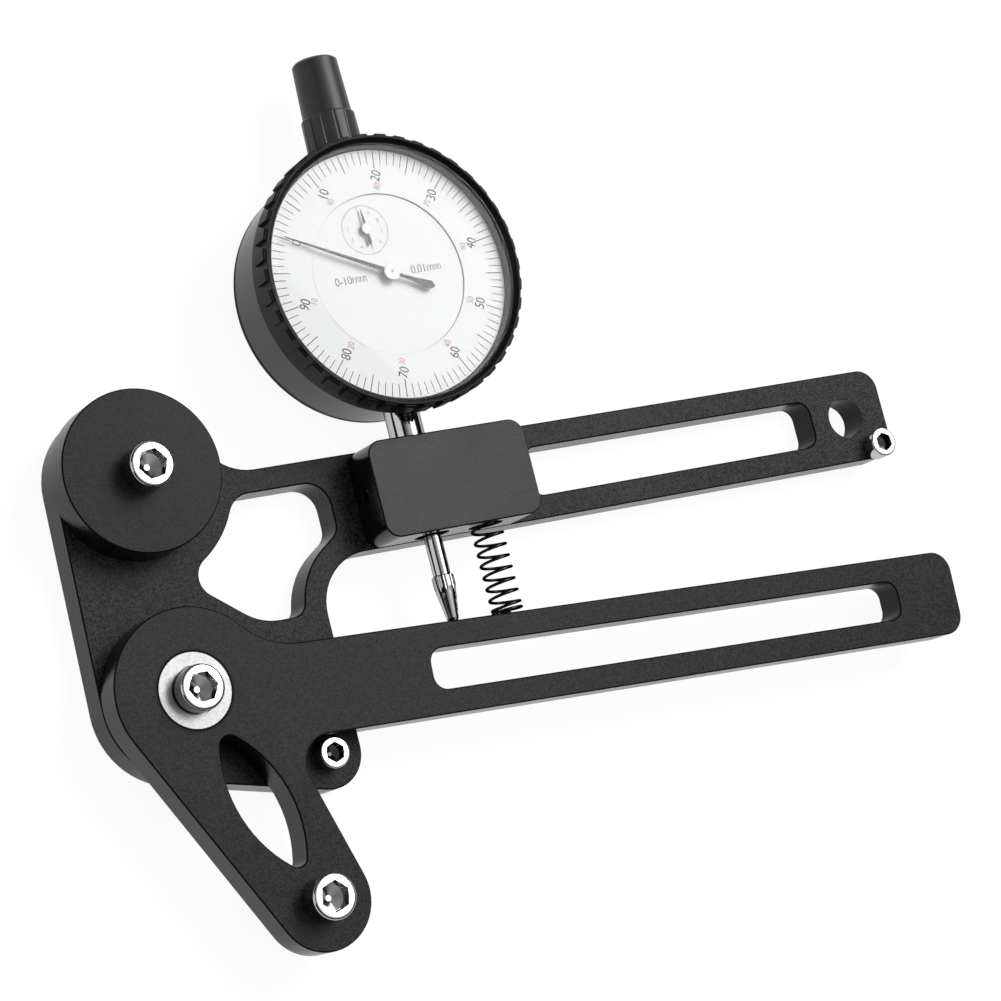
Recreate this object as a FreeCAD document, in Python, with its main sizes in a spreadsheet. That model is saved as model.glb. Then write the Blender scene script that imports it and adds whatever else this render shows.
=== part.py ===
"""Spoke tension meter: two slotted handles on one pivot, three contact screws and a dial indicator.

The tool lies on its back. The origin is on the pivot axis, at the back face of the base plate.
X runs along the fixed handle, Y towards the dial indicator and Z out of the front.
"""
import FreeCAD, Part
import math
import os
import Sketcher

doc = FreeCAD.newDocument("SpokeTensionMeter")
sheet = doc.addObject("Spreadsheet::Sheet", "sizes")

SIZES = [
    # plates
    ("plate", 8.0, "thickness of the base plate and of the lever"),
    ("pivot_gap", 0.3, "thrust washer between the plates"),
    ("edge_break", 0.3, "chamfer along the edges of the plates"),
    # base plate
    ("disc_y", 48.0, "centre of the spacer disc above the pivot"),
    ("boss_round", 18.0, "round of the base plate about the pivot"),
    ("disc_boss_round", 17.4, "round of the base plate under the spacer disc"),
    ("base_left_x", -18.24, "left edge at the lower corner"),
    ("base_left_y", -13.87, "lower left corner before rounding"),
    ("boss_apex_x", -16.1, "where the left edge and the boss's right flank would meet"),
    ("boss_apex_y", 101.5, "height of that point"),
    ("neck_x", 23.0, "where the boss's right flank meets the handle's top edge"),
    ("neck_round", 12.0, "round of that inner corner"),
    ("tail_x", 38.4, "right edge of the tail and of the strut"),
    ("tail_y", -28.54, "lower right corner of the tail before rounding"),
    ("tail_round", 8.1, "round of the tail"),
    ("strut_round", 12.4, "inner round between strut and fixed handle"),
    ("handle_end", 199.7, "end of the fixed handle"),
    ("handle_low", 23.7, "lower edge of the fixed handle"),
    ("handle_top", 45.9, "upper edge of the fixed handle"),
    ("handle_round", 5.0, "corner round of both handles"),
    ("slot_left", 96.5, "left end of the fixed handle's slot"),
    ("slot_right", 177.8, "right end of the fixed handle's slot"),
    ("slot_rail", 5.45, "width of the rails beside the slot"),
    ("slot_round", 3.2, "corner round of the slots"),
    ("hang_x", 188.0, "hanging hole"),
    ("hang_radius", 5.0, "radius of the hanging hole"),
    # window between spacer disc and strut
    ("window_top", 40.8, "upper edge of the window"),
    ("window_right", 45.4, "right edge of the window"),
    ("window_low", 12.2, "lower edge of the window"),
    # lever
    ("lever_rest", 2.8, "degrees that the lever hangs open at rest"),
    ("lever_end", 200.6, "end of the lever's handle"),
    ("lever_low", -13.3, "lower edge of the lever's handle"),
    ("lever_top", 7.0, "upper edge of the lever's handle"),
    ("lever_slot_left", 56.0, "left end of the lever's slot"),
    ("lever_slot_right", 183.3, "right end of the lever's slot"),
    ("lever_slot_low", -7.8, "lower edge of the lever's slot"),
    ("lever_slot_top", 1.4, "upper edge of the lever's slot"),
    ("foot_x", 19.8, "lower contact screw, in the lever's own frame"),
    ("foot_y", -47.7, "lower contact screw, in the lever's own frame"),
    ("hub_round", 17.9, "round of the lever about the pivot"),
    ("foot_round", 11.0, "round of the foot about the lower contact screw"),
    ("notch_round", 6.4, "inner round between the lever's handle and its foot"),
    ("hub_fillet", 17.7, "inner round between the hub and the lever's handle"),
    # M6 contact screws and M4 stop screws
    ("big_head", 10.0, "head diameter of the M6 screws"),
    ("big_head_height", 6.0, "head height of the M6 screws"),
    ("big_shank", 6.0, "shank diameter of the M6 screws"),
    ("big_hex", 6.0, "socket across flats"),
    ("big_hex_depth", 2.8, "socket depth"),
    ("big_mouth", 3.08, "radius of the socket's countersunk mouth"),
    ("big_edge", 0.7, "round of the head's front edge"),
    ("small_head", 7.0, "head diameter of the M4 screws"),
    ("small_head_height", 4.0, "head height of the M4 screws"),
    ("small_shank", 4.0, "shank diameter of the M4 screws"),
    ("small_hex", 4.0, "socket across flats"),
    ("small_hex_depth", 2.4, "socket depth"),
    ("small_mouth", 2.05, "radius of the socket's countersunk mouth"),
    ("small_edge", 0.4, "round of the head's front edge"),
    ("thread_gap", 0.02, "radial gap in the tapped holes"),
    ("disc_radius", 18.0, "spacer disc"),
    ("release_x", 30.2, "release stop screw"),
    ("release_y", -18.6, "release stop screw"),
    ("squeeze_x", 194.4, "squeeze stop screw"),
    ("squeeze_y", 26.8, "squeeze stop screw"),
    # pivot
    ("bush_radius", 6.0, "sleeve of the pivot bush"),
    ("flange_radius", 8.5, "flange of the pivot bush"),
    ("flange_height", 2.0, "thickness of the flange"),
    ("flange_recess", 1.4, "how deep the pivot screw's head sits in the flange"),
    ("running_gap", 0.05, "radial gap of the turning fits"),
    ("washer_radius", 15.0, "thrust washer"),
    # gauge block
    ("block_left", 51.6, "left end of the gauge block"),
    ("block_right", 91.6, "right end of the gauge block"),
    ("block_low", 23.8, "underside of the gauge block"),
    ("block_depth", 11.0, "how far the block stands out of the base plate"),
    ("block_round", 3.6, "corner round of the block"),
    ("block_screw_left", 56.6, "left block screw"),
    ("block_screw_low", 28.0, "left block screw"),
    ("block_screw_right", 87.0, "right block screw"),
    # dial indicator
    ("gauge_x", 65.4, "axis of the stem and the spindle"),
    ("gauge_z", 13.0, "height of the stem's axis above the back face"),
    ("dial_y", 81.8, "centre of the dial"),
    ("stem_radius", 4.0, "stem"),
    ("stem_low", 28.5, "lower end of the stem, inside the block"),
    ("case_radius", 29.05, "indicator case"),
    ("case_bore", 25.2, "inside of the case"),
    ("ledge_radius", 26.5, "seat of the rear movement plate, and inside of the case's neck"),
    ("case_back", 2.5, "back face of the cover"),
    ("cover_joint", 4.5, "joint between cover and case"),
    ("bezel_back", 17.6, "back face of the bezel"),
    ("bezel_front", 27.0, "front face of the bezel"),
    ("bezel_radius", 31.65, "outside of the bezel's grip"),
    ("bezel_skirt", 30.65, "plain part of the bezel behind the grip"),
    ("bezel_ring", 31.05, "plain ring in front of the grip"),
    ("bezel_bore", 27.7, "bore of the bezel on the case's neck"),
    ("ring_back", 18.4, "back of the groove for the bezel's friction ring"),
    ("crystal_radius", 29.6, "crystal"),
    ("crystal_back", 25.0, "back face of the crystal"),
    ("crystal_thick", 1.0, "thickness of the crystal"),
    ("dial_front", 23.2, "front face of the scale ring"),
    ("dial_step", 0.3, "how far the fixed dial lies behind the scale ring"),
    ("dial_thick", 0.6, "thickness of the dial and the scale ring"),
    ("inner_dial_radius", 18.5, "fixed inner dial"),
    ("scale_outer", 28.8, "rotating scale ring"),
    ("grip_count", 42.0, "grooves round the bezel"),
    ("grip_root", 30.8, "bottom of the grooves"),
    ("grip_width", 2.1, "width of the grooves"),
    ("grip_low", 3.7, "start of the grip, from the bezel's back face"),
    ("grip_rim", 0.4, "height of the plain ring in front of the grip"),
    # spindle and contact point
    ("spindle_radius", 2.0, "spindle"),
    ("spindle_low", 14.4, "lower end of the spindle at rest"),
    ("spindle_top", 119.0, "upper end of the spindle at rest"),
    ("tip_y", 3.86, "end of the contact point at rest"),
    ("rack_pitch", 0.625, "pitch of the rack teeth"),
    ("rack_count", 24.0, "spaces cut in the rack"),
    ("rack_flat", 1.8, "tips of the rack teeth from the spindle's axis"),
    ("rack_depth", 0.45, "depth of the rack teeth"),
    # cap
    ("cap_low", 122.3, "lower end of the cap's smooth part"),
    ("cap_top", 135.5, "top of the cap"),
    ("collar_low", 113.6, "lower end of the fluted collar"),
    # train
    ("module", 0.2, "module of the wheels"),
    ("train_distance", 11.0, "centre distance between wheel and centre pinion"),
    ("rear_plate_back", 15.6, "back face of the rear movement plate"),
    ("front_plate_back", 20.2, "back face of the front movement plate"),
    ("movement_plate", 0.8, "thickness of the movement plates"),
    # return spring
    ("spring_x", 79.05, "axis of the return spring"),
    ("spring_wire", 0.72, "wire of the return spring"),
    ("spring_coil", 3.36, "mean radius of the return spring"),
    ("spring_low", 3.36, "lower end of the return spring"),
    ("spring_top", 30.75, "upper end of the return spring, inside the block"),
    ("spring_pitch", 2.6, "pitch of the return spring"),
]

RACK_TEETH = 16
WHEEL_TEETH = 100
PINION_TEETH = 10
POINTER_ANGLE = 155.5
REV_POINTER_ANGLE = 94.0
UP_Y = FreeCAD.Rotation(FreeCAD.Vector(1, 0, 0), -90)


class Size:
    """A length that knows its value and the sheet formula that it comes from."""

    def __init__(self, formula, value):
        self.formula = formula
        self.value = float(value)

    def _with(self, other, sign, value, swap=False):
        theirs = other.formula if isinstance(other, Size) else repr(float(other))
        first, second = (theirs, self.formula) if swap else (self.formula, theirs)
        return Size("(%s %s %s)" % (first, sign, second), value)

    def __add__(self, other):
        return self._with(other, "+", self.value + number(other))

    def __radd__(self, other):
        return self._with(other, "+", number(other) + self.value, swap=True)

    def __sub__(self, other):
        return self._with(other, "-", self.value - number(other))

    def __rsub__(self, other):
        return self._with(other, "-", number(other) - self.value, swap=True)

    def __mul__(self, other):
        return self._with(other, "*", self.value * number(other))

    def __rmul__(self, other):
        return self._with(other, "*", number(other) * self.value, swap=True)

    def __truediv__(self, other):
        return self._with(other, "/", self.value / number(other))


def number(size):
    return size.value if isinstance(size, Size) else float(size)


def fill_sheet():
    for row, (alias, value, words) in enumerate(SIZES, start=1):
        sheet.set("A%d" % row, alias)
        sheet.set("B%d" % row, str(value))
        sheet.set("C%d" % row, words)
        sheet.setAlias("B%d" % row, alias)
    doc.recompute()


def size(alias):
    return Size("sizes." + alias, sheet.get(alias))


def bind(thing, path, value):
    """Set a property from a size, bound to its cells, or from a plain number."""
    if isinstance(value, Size):
        thing.setExpression(path, value.formula)
    else:
        thing.setExpression(path, repr(float(value)))


# ---------------------------------------------------------------- sketches

def origin_feature(body, role):
    return next(item for item in body.Origin.OriginFeatures if item.Role == role)


def new_body(label, place=None):
    body = doc.addObject("PartDesign::Body", label)
    body.Label = label
    if place is not None:
        body.Placement = place
    return body


def new_sketch(body, plane="XY_Plane", level=0.0):
    """A sketch on one of the body's own origin planes, moved along the plane's normal by level."""
    sketch = body.newObject("Sketcher::SketchObject", body.Label + "_sketch")
    sketch.AttachmentSupport = [(origin_feature(body, plane), "")]
    sketch.MapMode = "FlatFace"
    if number(level):
        bind(sketch, "AttachmentOffset.Base.z", level)
    return sketch


def hold(sketch, kind, first, value):
    """One driving constraint on a geometry, or on a point of it measured from the origin."""
    if kind == "Radius":
        index = sketch.addConstraint(Sketcher.Constraint(kind, first, number(value)))
    else:
        where = [-1, 1] + list(first)
        index = sketch.addConstraint(Sketcher.Constraint(kind, *where, number(value)))
    if isinstance(value, Size):
        sketch.setExpression("Constraints[%d]" % index, value.formula)


def hold_point(sketch, geometry, point, x, y):
    for kind, axis, value in (("DistanceX", -2, x), ("DistanceY", -1, y)):
        if isinstance(value, Size) or abs(value) > 1e-9:
            hold(sketch, kind, (geometry, point), value)
        else:
            sketch.addConstraint(Sketcher.Constraint("PointOnObject", geometry, point, axis))


def draw_circle(sketch, x, y, radius):
    centre = FreeCAD.Vector(number(x), number(y), 0)
    circle = sketch.addGeometry(Part.Circle(centre, FreeCAD.Vector(0, 0, 1), number(radius)), False)
    hold(sketch, "Radius", circle, radius)
    hold_point(sketch, circle, 3, x, y)


def draw_outline(sketch, corners):
    """A closed outline of straight sides. A corner is (x, y), or (x, y, radius) where it is rounded."""
    points = [FreeCAD.Vector(number(c[0]), number(c[1]), 0) for c in corners]
    count = len(corners)
    starts, ends, arcs = [], [], []
    for i, corner in enumerate(corners):
        here = points[i]
        back = (points[i - 1] - here).normalize()
        ahead = (points[(i + 1) % count] - here).normalize()
        if len(corner) < 3:
            starts.append(here)
            ends.append(here)
            arcs.append(None)
            continue
        radius = number(corner[2])
        half = back.getAngle(ahead) / 2
        run = radius / math.tan(half)
        middle = here + (back + ahead).normalize() * (radius / math.sin(half))
        starts.append(here + back * run)
        ends.append(here + ahead * run)
        turn = back.cross(ahead).z
        first, last = (starts[i], ends[i]) if turn < 0 else (ends[i], starts[i])
        angles = [math.atan2((p - middle).y, (p - middle).x) for p in (first, last)]
        circle = Part.Circle(middle, FreeCAD.Vector(0, 0, 1), radius)
        arcs.append((Part.ArcOfCircle(circle, angles[0], angles[1]), turn < 0))
    lines = [sketch.addGeometry(Part.LineSegment(ends[i], starts[(i + 1) % count]), False)
             for i in range(count)]
    for i, corner in enumerate(corners):
        before, after = lines[i - 1], lines[i]
        if arcs[i] is None:
            sketch.addConstraint(Sketcher.Constraint("Coincident", before, 2, after, 1))
            hold_point(sketch, after, 1, corner[0], corner[1])
            continue
        arc = sketch.addGeometry(arcs[i][0], False)
        enter, leave = (1, 2) if arcs[i][1] else (2, 1)
        mark = sketch.addGeometry(Part.Point(points[i]), True)
        hold_point(sketch, mark, 1, corner[0], corner[1])
        sketch.addConstraint(Sketcher.Constraint("PointOnObject", mark, 1, before))
        sketch.addConstraint(Sketcher.Constraint("PointOnObject", mark, 1, after))
        sketch.addConstraint(Sketcher.Constraint("Tangent", before, 2, arc, enter))
        sketch.addConstraint(Sketcher.Constraint("Tangent", arc, leave, after, 1))
        hold(sketch, "Radius", arc, corner[2])


def box_corners(left, low, right, top, radius=None):
    corners = [(left, low), (right, low), (right, top), (left, top)]
    return corners if radius is None else [corner + (radius,) for corner in corners]


# ---------------------------------------------------------------- features

def pad(body, sketch, length, reverse=False):
    feature = body.newObject("PartDesign::Pad", body.Label + "_pad")
    feature.Profile = sketch
    feature.Reversed = reverse
    bind(feature, "Length", length)
    doc.recompute()
    return feature


def cut(body, sketch, depth=None, reverse=False):
    """A pocket. With no depth it goes right through, both ways from the sketch."""
    before = body.Shape.Volume
    feature = body.newObject("PartDesign::Pocket", body.Label + "_pocket")
    feature.Profile = sketch
    feature.Reversed = reverse
    if depth is None:
        feature.Type = "ThroughAll"
        feature.Midplane = True
    else:
        bind(feature, "Length", depth)
    doc.recompute()
    if not body.Shape.Volume < before - 1e-4:
        raise ValueError("a pocket in %s cuts nothing" % body.Label)
    return feature


def circle_cut(body, x, y, radius, plane="XY_Plane", level=0.0, depth=None, reverse=False):
    """A round hole. On the XZ plane its level counts towards -Y."""
    sketch = new_sketch(body, plane, level)
    draw_circle(sketch, x, y, radius)
    return cut(body, sketch, depth, reverse)


def outline_cut(body, corners, plane="XY_Plane", level=0.0, depth=None, reverse=False):
    sketch = new_sketch(body, plane, level)
    draw_outline(sketch, corners)
    return cut(body, sketch, depth, reverse)


def revolve(body, profile):
    sketch = new_sketch(body, "XZ_Plane")
    draw_outline(sketch, profile)
    feature = body.newObject("PartDesign::Revolution", body.Label + "_turning")
    feature.Profile = sketch
    feature.ReferenceAxis = (sketch, ["V_Axis"])
    feature.Angle = 360.0
    doc.recompute()
    return feature


def turned(label, profile, place):
    """A piece turned about its own Z axis. The profile's corners are (radius, height)."""
    body = new_body(label, place)
    revolve(body, profile)
    return body


def turned_cut(body, profile):
    """Cut a turned shape about the body's own Z axis."""
    sketch = new_sketch(body, "XZ_Plane")
    draw_outline(sketch, profile)
    feature = body.newObject("PartDesign::Groove", body.Label + "_turned_cut")
    feature.Profile = sketch
    feature.ReferenceAxis = (sketch, ["V_Axis"])
    feature.Angle = 360.0
    doc.recompute()
    return feature


def polar(body, feature, count):
    pattern = body.newObject("PartDesign::PolarPattern", body.Label + "_pattern")
    pattern.Originals = [feature]
    pattern.Axis = (origin_feature(body, "Z_Axis"), [""])
    pattern.Angle = 360.0
    bind(pattern, "Occurrences", count)
    body.Tip = pattern
    doc.recompute()
    return pattern


def break_edges(body, amount, levels):
    """Chamfer the outlines that lie at the given heights, apart from full circles."""
    base = body.Tip
    names = []
    for index, edge in enumerate(base.Shape.Edges, start=1):
        box = edge.BoundBox
        flat = box.ZLength < 1e-6 and any(abs(box.ZMin - level) < 1e-6 for level in levels)
        if flat and not edge.isClosed():
            names.append("Edge%d" % index)
    feature = body.newObject("PartDesign::Chamfer", body.Label + "_edges")
    feature.Base = (base, names)
    bind(feature, "Size", amount)
    doc.recompute()
    return feature


def at(x, y, z, rotation=None):
    place = FreeCAD.Placement(FreeCAD.Vector(number(x), number(y), number(z)), FreeCAD.Rotation())
    if rotation is not None:
        place.Rotation = rotation
    return place


def turn_z(degrees):
    return FreeCAD.Rotation(FreeCAD.Vector(0, 0, 1), degrees)


def feature_piece(label, shape, place=None):
    piece = doc.addObject("Part::Feature", label)
    piece.Label = label
    piece.Shape = shape
    if place is not None:
        piece.Placement = place
    return piece


# ---------------------------------------------------------------- plates

def base_plate():
    body = new_body("base_plate")
    sketch = new_sketch(body)
    round_handle = size("handle_round")
    draw_outline(sketch, [
        (size("base_left_x"), size("base_left_y"), size("boss_round")),
        (size("tail_x"), size("tail_y"), size("tail_round")),
        (size("tail_x"), size("handle_low"), size("strut_round")),
        (size("handle_end"), size("handle_low"), round_handle),
        (size("handle_end"), size("handle_top"), round_handle),
        (size("neck_x"), size("handle_top"), size("neck_round")),
        (size("boss_apex_x"), size("boss_apex_y"), size("disc_boss_round")),
    ])
    pad(body, sketch, size("plate"))
    outline_cut(body, window_corners())
    slot = box_corners(size("slot_left"), size("handle_low") + size("slot_rail"), size("slot_right"),
                       size("handle_top") - size("slot_rail"), size("slot_round"))
    outline_cut(body, slot)
    break_edges(body, size("edge_break"), (0.0, size("plate").value))
    handle_middle = (size("handle_low") + size("handle_top")) / 2
    circle_cut(body, size("hang_x"), handle_middle, size("hang_radius"))
    big = size("big_shank") / 2 + size("thread_gap")
    small = size("small_shank") / 2 + size("thread_gap")
    thread_depth = size("plate") - 1.2
    for x, y, radius in ((0.0, size("disc_y"), big), (0.0, 0.0, big),
                         (size("release_x"), size("release_y"), small),
                         (size("squeeze_x"), size("squeeze_y"), small)):
        circle_cut(body, x, y, radius, level=size("plate"), depth=thread_depth)
    for x, y in block_screw_places():
        circle_cut(body, x, y, small)
        sink = new_sketch(body)
        draw_circle(sketch=sink, x=x, y=y, radius=size("small_shank"))
        cone = cut(body, sink, 2.1, reverse=True)
        cone.TaperAngle = -44.0
    return body


def window_corners():
    """The window follows the spacer disc, then the strut, at an even width of metal."""
    return [
        (22.9, size("window_top"), 5.7),
        (18.35, 31.65, 23.5),
        (7.1, 24.5, 4.7),
        (22.5, size("window_low"), 13.0),
        (32.9, size("window_low"), 3.3),
        (35.0, 22.1, 17.8),
        (size("window_right"), 29.0, 4.0),
        (size("window_right"), size("window_top"), 5.6),
    ]


def block_screw_places():
    middle = (size("handle_low") + size("handle_top")) / 2
    return [(size("block_screw_left"), size("block_screw_low")), (size("block_screw_right"), middle)]


def lever_plate():
    body = new_body("lever_plate", lever_place(0, 0, size("plate") + size("pivot_gap")))
    sketch = new_sketch(body)
    draw_outline(sketch, [
        (size("lever_end"), size("lever_low"), size("handle_round")),
        (size("lever_end"), size("lever_top"), size("handle_round")),
        (18.26, size("lever_top"), size("hub_fillet")),
        (1.87, 23.98, size("hub_round")),
        (-23.58, 4.73, size("hub_round")),
        (15.31, -62.04, size("foot_round")),
        (33.66, -53.48, size("foot_round")),
        (19.2, size("lever_low"), size("notch_round")),
    ])
    pad(body, sketch, size("plate"))
    outline_cut(body, box_corners(size("lever_slot_left"), size("lever_slot_low"), size("lever_slot_right"),
                                  size("lever_slot_top"), size("slot_round")))
    outline_cut(body, [(3.61, -8.47, 2.4), (0.83, -29.47, 28.3), (17.24, -41.78, 2.1), (20.73, -21.33, 27.5)])
    break_edges(body, size("edge_break"), (0.0, size("plate").value))
    circle_cut(body, 0.0, 0.0, size("bush_radius") + size("running_gap"))
    recess = size("flange_height") + size("running_gap")
    circle_cut(body, 0.0, 0.0, size("flange_radius") + size("running_gap"), level=size("plate"), depth=recess)
    circle_cut(body, size("foot_x"), size("foot_y"), size("big_shank") / 2 + size("thread_gap"))
    pin_x, pin_radius, pin_depth = spring_pin_sizes()
    circle_cut(body, pin_x, size("plate") / 2, pin_radius, "XZ_Plane", -1.0 * size("lever_top"), pin_depth,
               reverse=True)
    return body


def spring_pin_sizes():
    return size("spring_x") - 0.3, Size("1.5", 1.5), Size("4.0", 4.0)


def gauge_block():
    body = new_body("gauge_block", at(0, 0, size("plate")))
    sketch = new_sketch(body)
    draw_outline(sketch, box_corners(size("block_left"), size("block_low"), size("block_right"),
                                     size("handle_top"), size("block_round")))
    pad(body, sketch, size("block_depth"))
    break_edges(body, size("edge_break"), (size("block_depth").value,))
    bore_height = size("gauge_z") - size("plate")
    circle_cut(body, size("gauge_x"), bore_height, size("stem_radius") + 0.01, "XZ_Plane")
    circle_cut(body, size("spring_x"), size("block_depth") / 2, size("spring_coil") + 0.7, "XZ_Plane",
               -1.0 * size("block_low"), 7.0, reverse=False)
    middle = (size("handle_low") + size("handle_top")) / 2
    circle_cut(body, middle, bore_height, size("small_shank") / 2 + size("thread_gap"), "YZ_Plane",
               size("block_left"), 10.0, reverse=True)
    for x, y in block_screw_places():
        circle_cut(body, x, y, size("small_shank") / 2 + size("thread_gap"), depth=8.5, reverse=True)
    return body


def spacer_disc():
    body = turned("spacer_disc", [
        (size("big_shank") / 2 + 0.1, 0.0),
        (size("disc_radius"), 0.0),
        (size("disc_radius"), size("plate") + size("pivot_gap") - size("edge_break")),
        (size("disc_radius") - size("edge_break"), size("plate") + size("pivot_gap")),
        (size("big_shank") / 2 + 0.1, size("plate") + size("pivot_gap")),
    ], at(0, size("disc_y"), size("plate")))
    return body


# ---------------------------------------------------------------- screws, bush and washer

def hexagon(across_flats):
    corner = across_flats / math.sqrt(3.0)
    return [(corner * math.cos(math.radians(60 * i)) if i % 3 else corner * (1 - 2 * (i // 3)),
             corner * math.sin(math.radians(60 * i)) if i % 3 else 0.0) for i in range(6)]


def socket_screw(label, kind, shank_length, place):
    """A socket head screw. Its own origin is under the head, on the axis."""
    head = size(kind + "_head") / 2
    height = size(kind + "_head_height")
    shank = size(kind + "_shank") / 2
    mouth = size(kind + "_mouth")
    inner = size(kind + "_hex") / 2 - 0.05
    depth = size(kind + "_hex_depth")
    body = turned(label, [
        (0.0, -shank_length),
        (shank - 0.6, -shank_length),
        (shank, 0.6 - shank_length),
        (shank, 0.0),
        (head, 0.0),
        (head, height, size(kind + "_edge")),
        (mouth, height),
        (inner, height - (mouth - inner) * 0.6),
        (0.0, height - (mouth - inner) * 0.6),
    ], place)
    outline_cut(body, hexagon(size(kind + "_hex")), level=height, depth=depth)
    turned_cut(body, [
        (0.0, height - depth - inner * 0.32),
        (inner * 0.22, height - depth - inner * 0.32),
        (inner, height - depth),
        (inner, height - depth + 0.1),
        (0.0, height - depth + 0.1),
    ])
    return body


def contact_screws():
    top = size("plate") * 2 + size("pivot_gap")
    upper = socket_screw("upper_contact_screw", "big", 14.5, at(0, size("disc_y"), top, turn_z(10)))
    pivot = socket_screw("pivot_screw", "big", 13.4, at(0, 0, top - size("flange_recess"), turn_z(2)))
    foot = lever_place(size("foot_x"), size("foot_y"), top, turn_z(20.8))
    lower = socket_screw("lower_contact_screw", "big", 7.6, foot)
    return [upper, pivot, lower]


def lever_place(x, y, z, rotation=None):
    """A place that is given in the lever's own frame, turned with the lever to its rest angle."""
    turn = turn_z(-size("lever_rest").value)
    spot = turn.multVec(FreeCAD.Vector(number(x), number(y), 0))
    spot.z = number(z)
    return FreeCAD.Placement(spot, turn if rotation is None else turn.multiply(rotation))


def stop_screws():
    screws = []
    for name, turn in (("release", 21), ("squeeze", 33)):
        place = at(size(name + "_x"), size(name + "_y"), size("plate"), turn_z(turn))
        screws.append(socket_screw(name + "_stop_screw", "small", 6.4, place))
    return screws


def pivot_bush():
    sleeve = size("plate") + size("pivot_gap") - size("flange_height")
    top = size("plate") + size("pivot_gap")
    bore = size("big_shank") / 2 + 0.1
    seat = size("big_head") / 2 + 0.3
    return turned("pivot_bush", [
        (bore, 0.0),
        (size("bush_radius"), 0.0),
        (size("bush_radius"), sleeve),
        (size("flange_radius"), sleeve),
        (size("flange_radius"), top - 0.2),
        (size("flange_radius") - 0.2, top),
        (seat, top),
        (seat, top - size("flange_recess")),
        (bore, top - size("flange_recess")),
    ], at(0, 0, size("plate")))


def thrust_washer():
    inner = size("bush_radius") + 0.1
    return turned("thrust_washer", [
        (inner, 0.0),
        (size("washer_radius"), 0.0),
        (size("washer_radius"), size("pivot_gap")),
        (inner, size("pivot_gap")),
    ], at(0, 0, size("plate")))


def block_screws():
    """Two countersunk screws, from the back of the base plate into the block."""
    shank = (size("small_shank") / 2).value
    screws = []
    for x, y in block_screw_places():
        profile = [(0, 0), (3.75, 0), (3.75, 0.15), (shank, 1.9), (shank, 15.5), (0, 15.5)]
        face = Part.Face(Part.makePolygon([FreeCAD.Vector(r, 0, z) for r, z in profile + profile[:1]]))
        screw = face.revolve(FreeCAD.Vector(0, 0, 0), FreeCAD.Vector(0, 0, 1), 360)
        socket = hex_prism(2.5, 1.4)
        screw = screw.cut(socket)
        screw.translate(FreeCAD.Vector(x.value, y.value, 0.02))
        screws.append(screw)
    return feature_piece("block_screws", Part.makeCompound(screws))


def hex_prism(across_flats, height):
    corner = across_flats / math.sqrt(3.0)
    turns = [math.radians(60 * i) for i in range(7)]
    points = [FreeCAD.Vector(corner * math.cos(turn), corner * math.sin(turn), 0) for turn in turns]
    return Part.Face(Part.makePolygon(points)).extrude(FreeCAD.Vector(0, 0, height))


def stem_clamp_screw():
    """A headless screw in the block's left end, against the stem."""
    shank = size("small_shank") / 2
    middle = (size("handle_low") + size("handle_top")) / 2
    start = size("block_left") + 0.2
    length = size("gauge_x") - size("stem_radius") - start
    body = turned("stem_clamp_screw", [
        (0.0, 0.0), (shank - 0.5, 0.0), (shank, 0.5), (shank, length - 0.6), (shank - 0.6, length - 0.02),
        (0.0, length - 0.02),
    ], at(start, middle, size("gauge_z"), FreeCAD.Rotation(FreeCAD.Vector(0, 1, 0), 90)))
    outline_cut(body, hexagon(Size("2.0", 2.0)), depth=2.5, reverse=True)
    return body


def spring_guide_pin():
    pin_x, pin_radius, pin_depth = spring_pin_sizes()
    place = lever_place(pin_x, size("lever_top") - pin_depth, size("plate") * 1.5 + size("pivot_gap"), UP_Y)
    return turned("spring_guide_pin", [
        (0.0, 0.0), (pin_radius - 0.02, 0.0), (pin_radius - 0.02, pin_depth + 0.7),
        (pin_radius - 0.3, pin_depth + 1.0), (0.0, pin_depth + 1.0),
    ], place)


def return_spring():
    """A compression spring between the block's blind hole and the lever's upper edge."""
    body = new_body("return_spring", at(size("spring_x"), size("spring_low") + size("spring_wire") / 2,
                                        size("plate") + size("block_depth") / 2, UP_Y))
    sketch = new_sketch(body, "XZ_Plane")
    draw_circle(sketch, size("spring_coil"), 0.0, size("spring_wire") / 2)
    coil = body.newObject("PartDesign::AdditiveHelix", "return_spring_coil")
    coil.Profile = sketch
    coil.ReferenceAxis = (sketch, ["V_Axis"])
    coil.Mode = "pitch-height-angle"
    coil.Angle = 0.0
    coil.Growth = 0.0
    bind(coil, "Pitch", size("spring_pitch"))
    bind(coil, "Height", size("spring_top") - size("spring_low") - size("spring_wire"))
    doc.recompute()
    return body


# ---------------------------------------------------------------- indicator case

def dial_centre(z, rotation=None):
    return at(size("gauge_x"), size("dial_y"), z, rotation)


def gauge_case():
    back = size("cover_joint")
    shoulder = size("bezel_back") - 0.2
    neck = size("bezel_bore") - size("running_gap")
    body = turned("gauge_case", [
        (size("case_bore"), 0.0),
        (size("case_radius"), 0.0),
        (size("case_radius"), shoulder - back),
        (neck, shoulder - back),
        (neck, size("ring_back") - back),
        (neck - 0.5, size("ring_back") - back),
        (neck - 0.5, size("ring_back") + 0.8 - back),
        (neck, size("ring_back") + 0.8 - back),
        (neck, size("front_plate_back") - back),
        (size("ledge_radius"), size("front_plate_back") - back),
        (size("ledge_radius"), size("rear_plate_back") - back),
        (size("case_bore"), size("rear_plate_back") - back),
    ], dial_centre(back))
    circle_cut(body, 0.0, size("gauge_z") - back, size("stem_radius") + 0.01, "XZ_Plane")
    for x, y in cover_screw_places():
        circle_cut(body, x, y, 0.92, depth=5.0, reverse=True)
    return body


def cover_screw_places():
    reach = size("case_bore") + 1.25
    turns = [math.radians(45 + 90 * i) for i in range(4)]
    return [(reach * math.cos(turn), reach * math.sin(turn)) for turn in turns]


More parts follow.
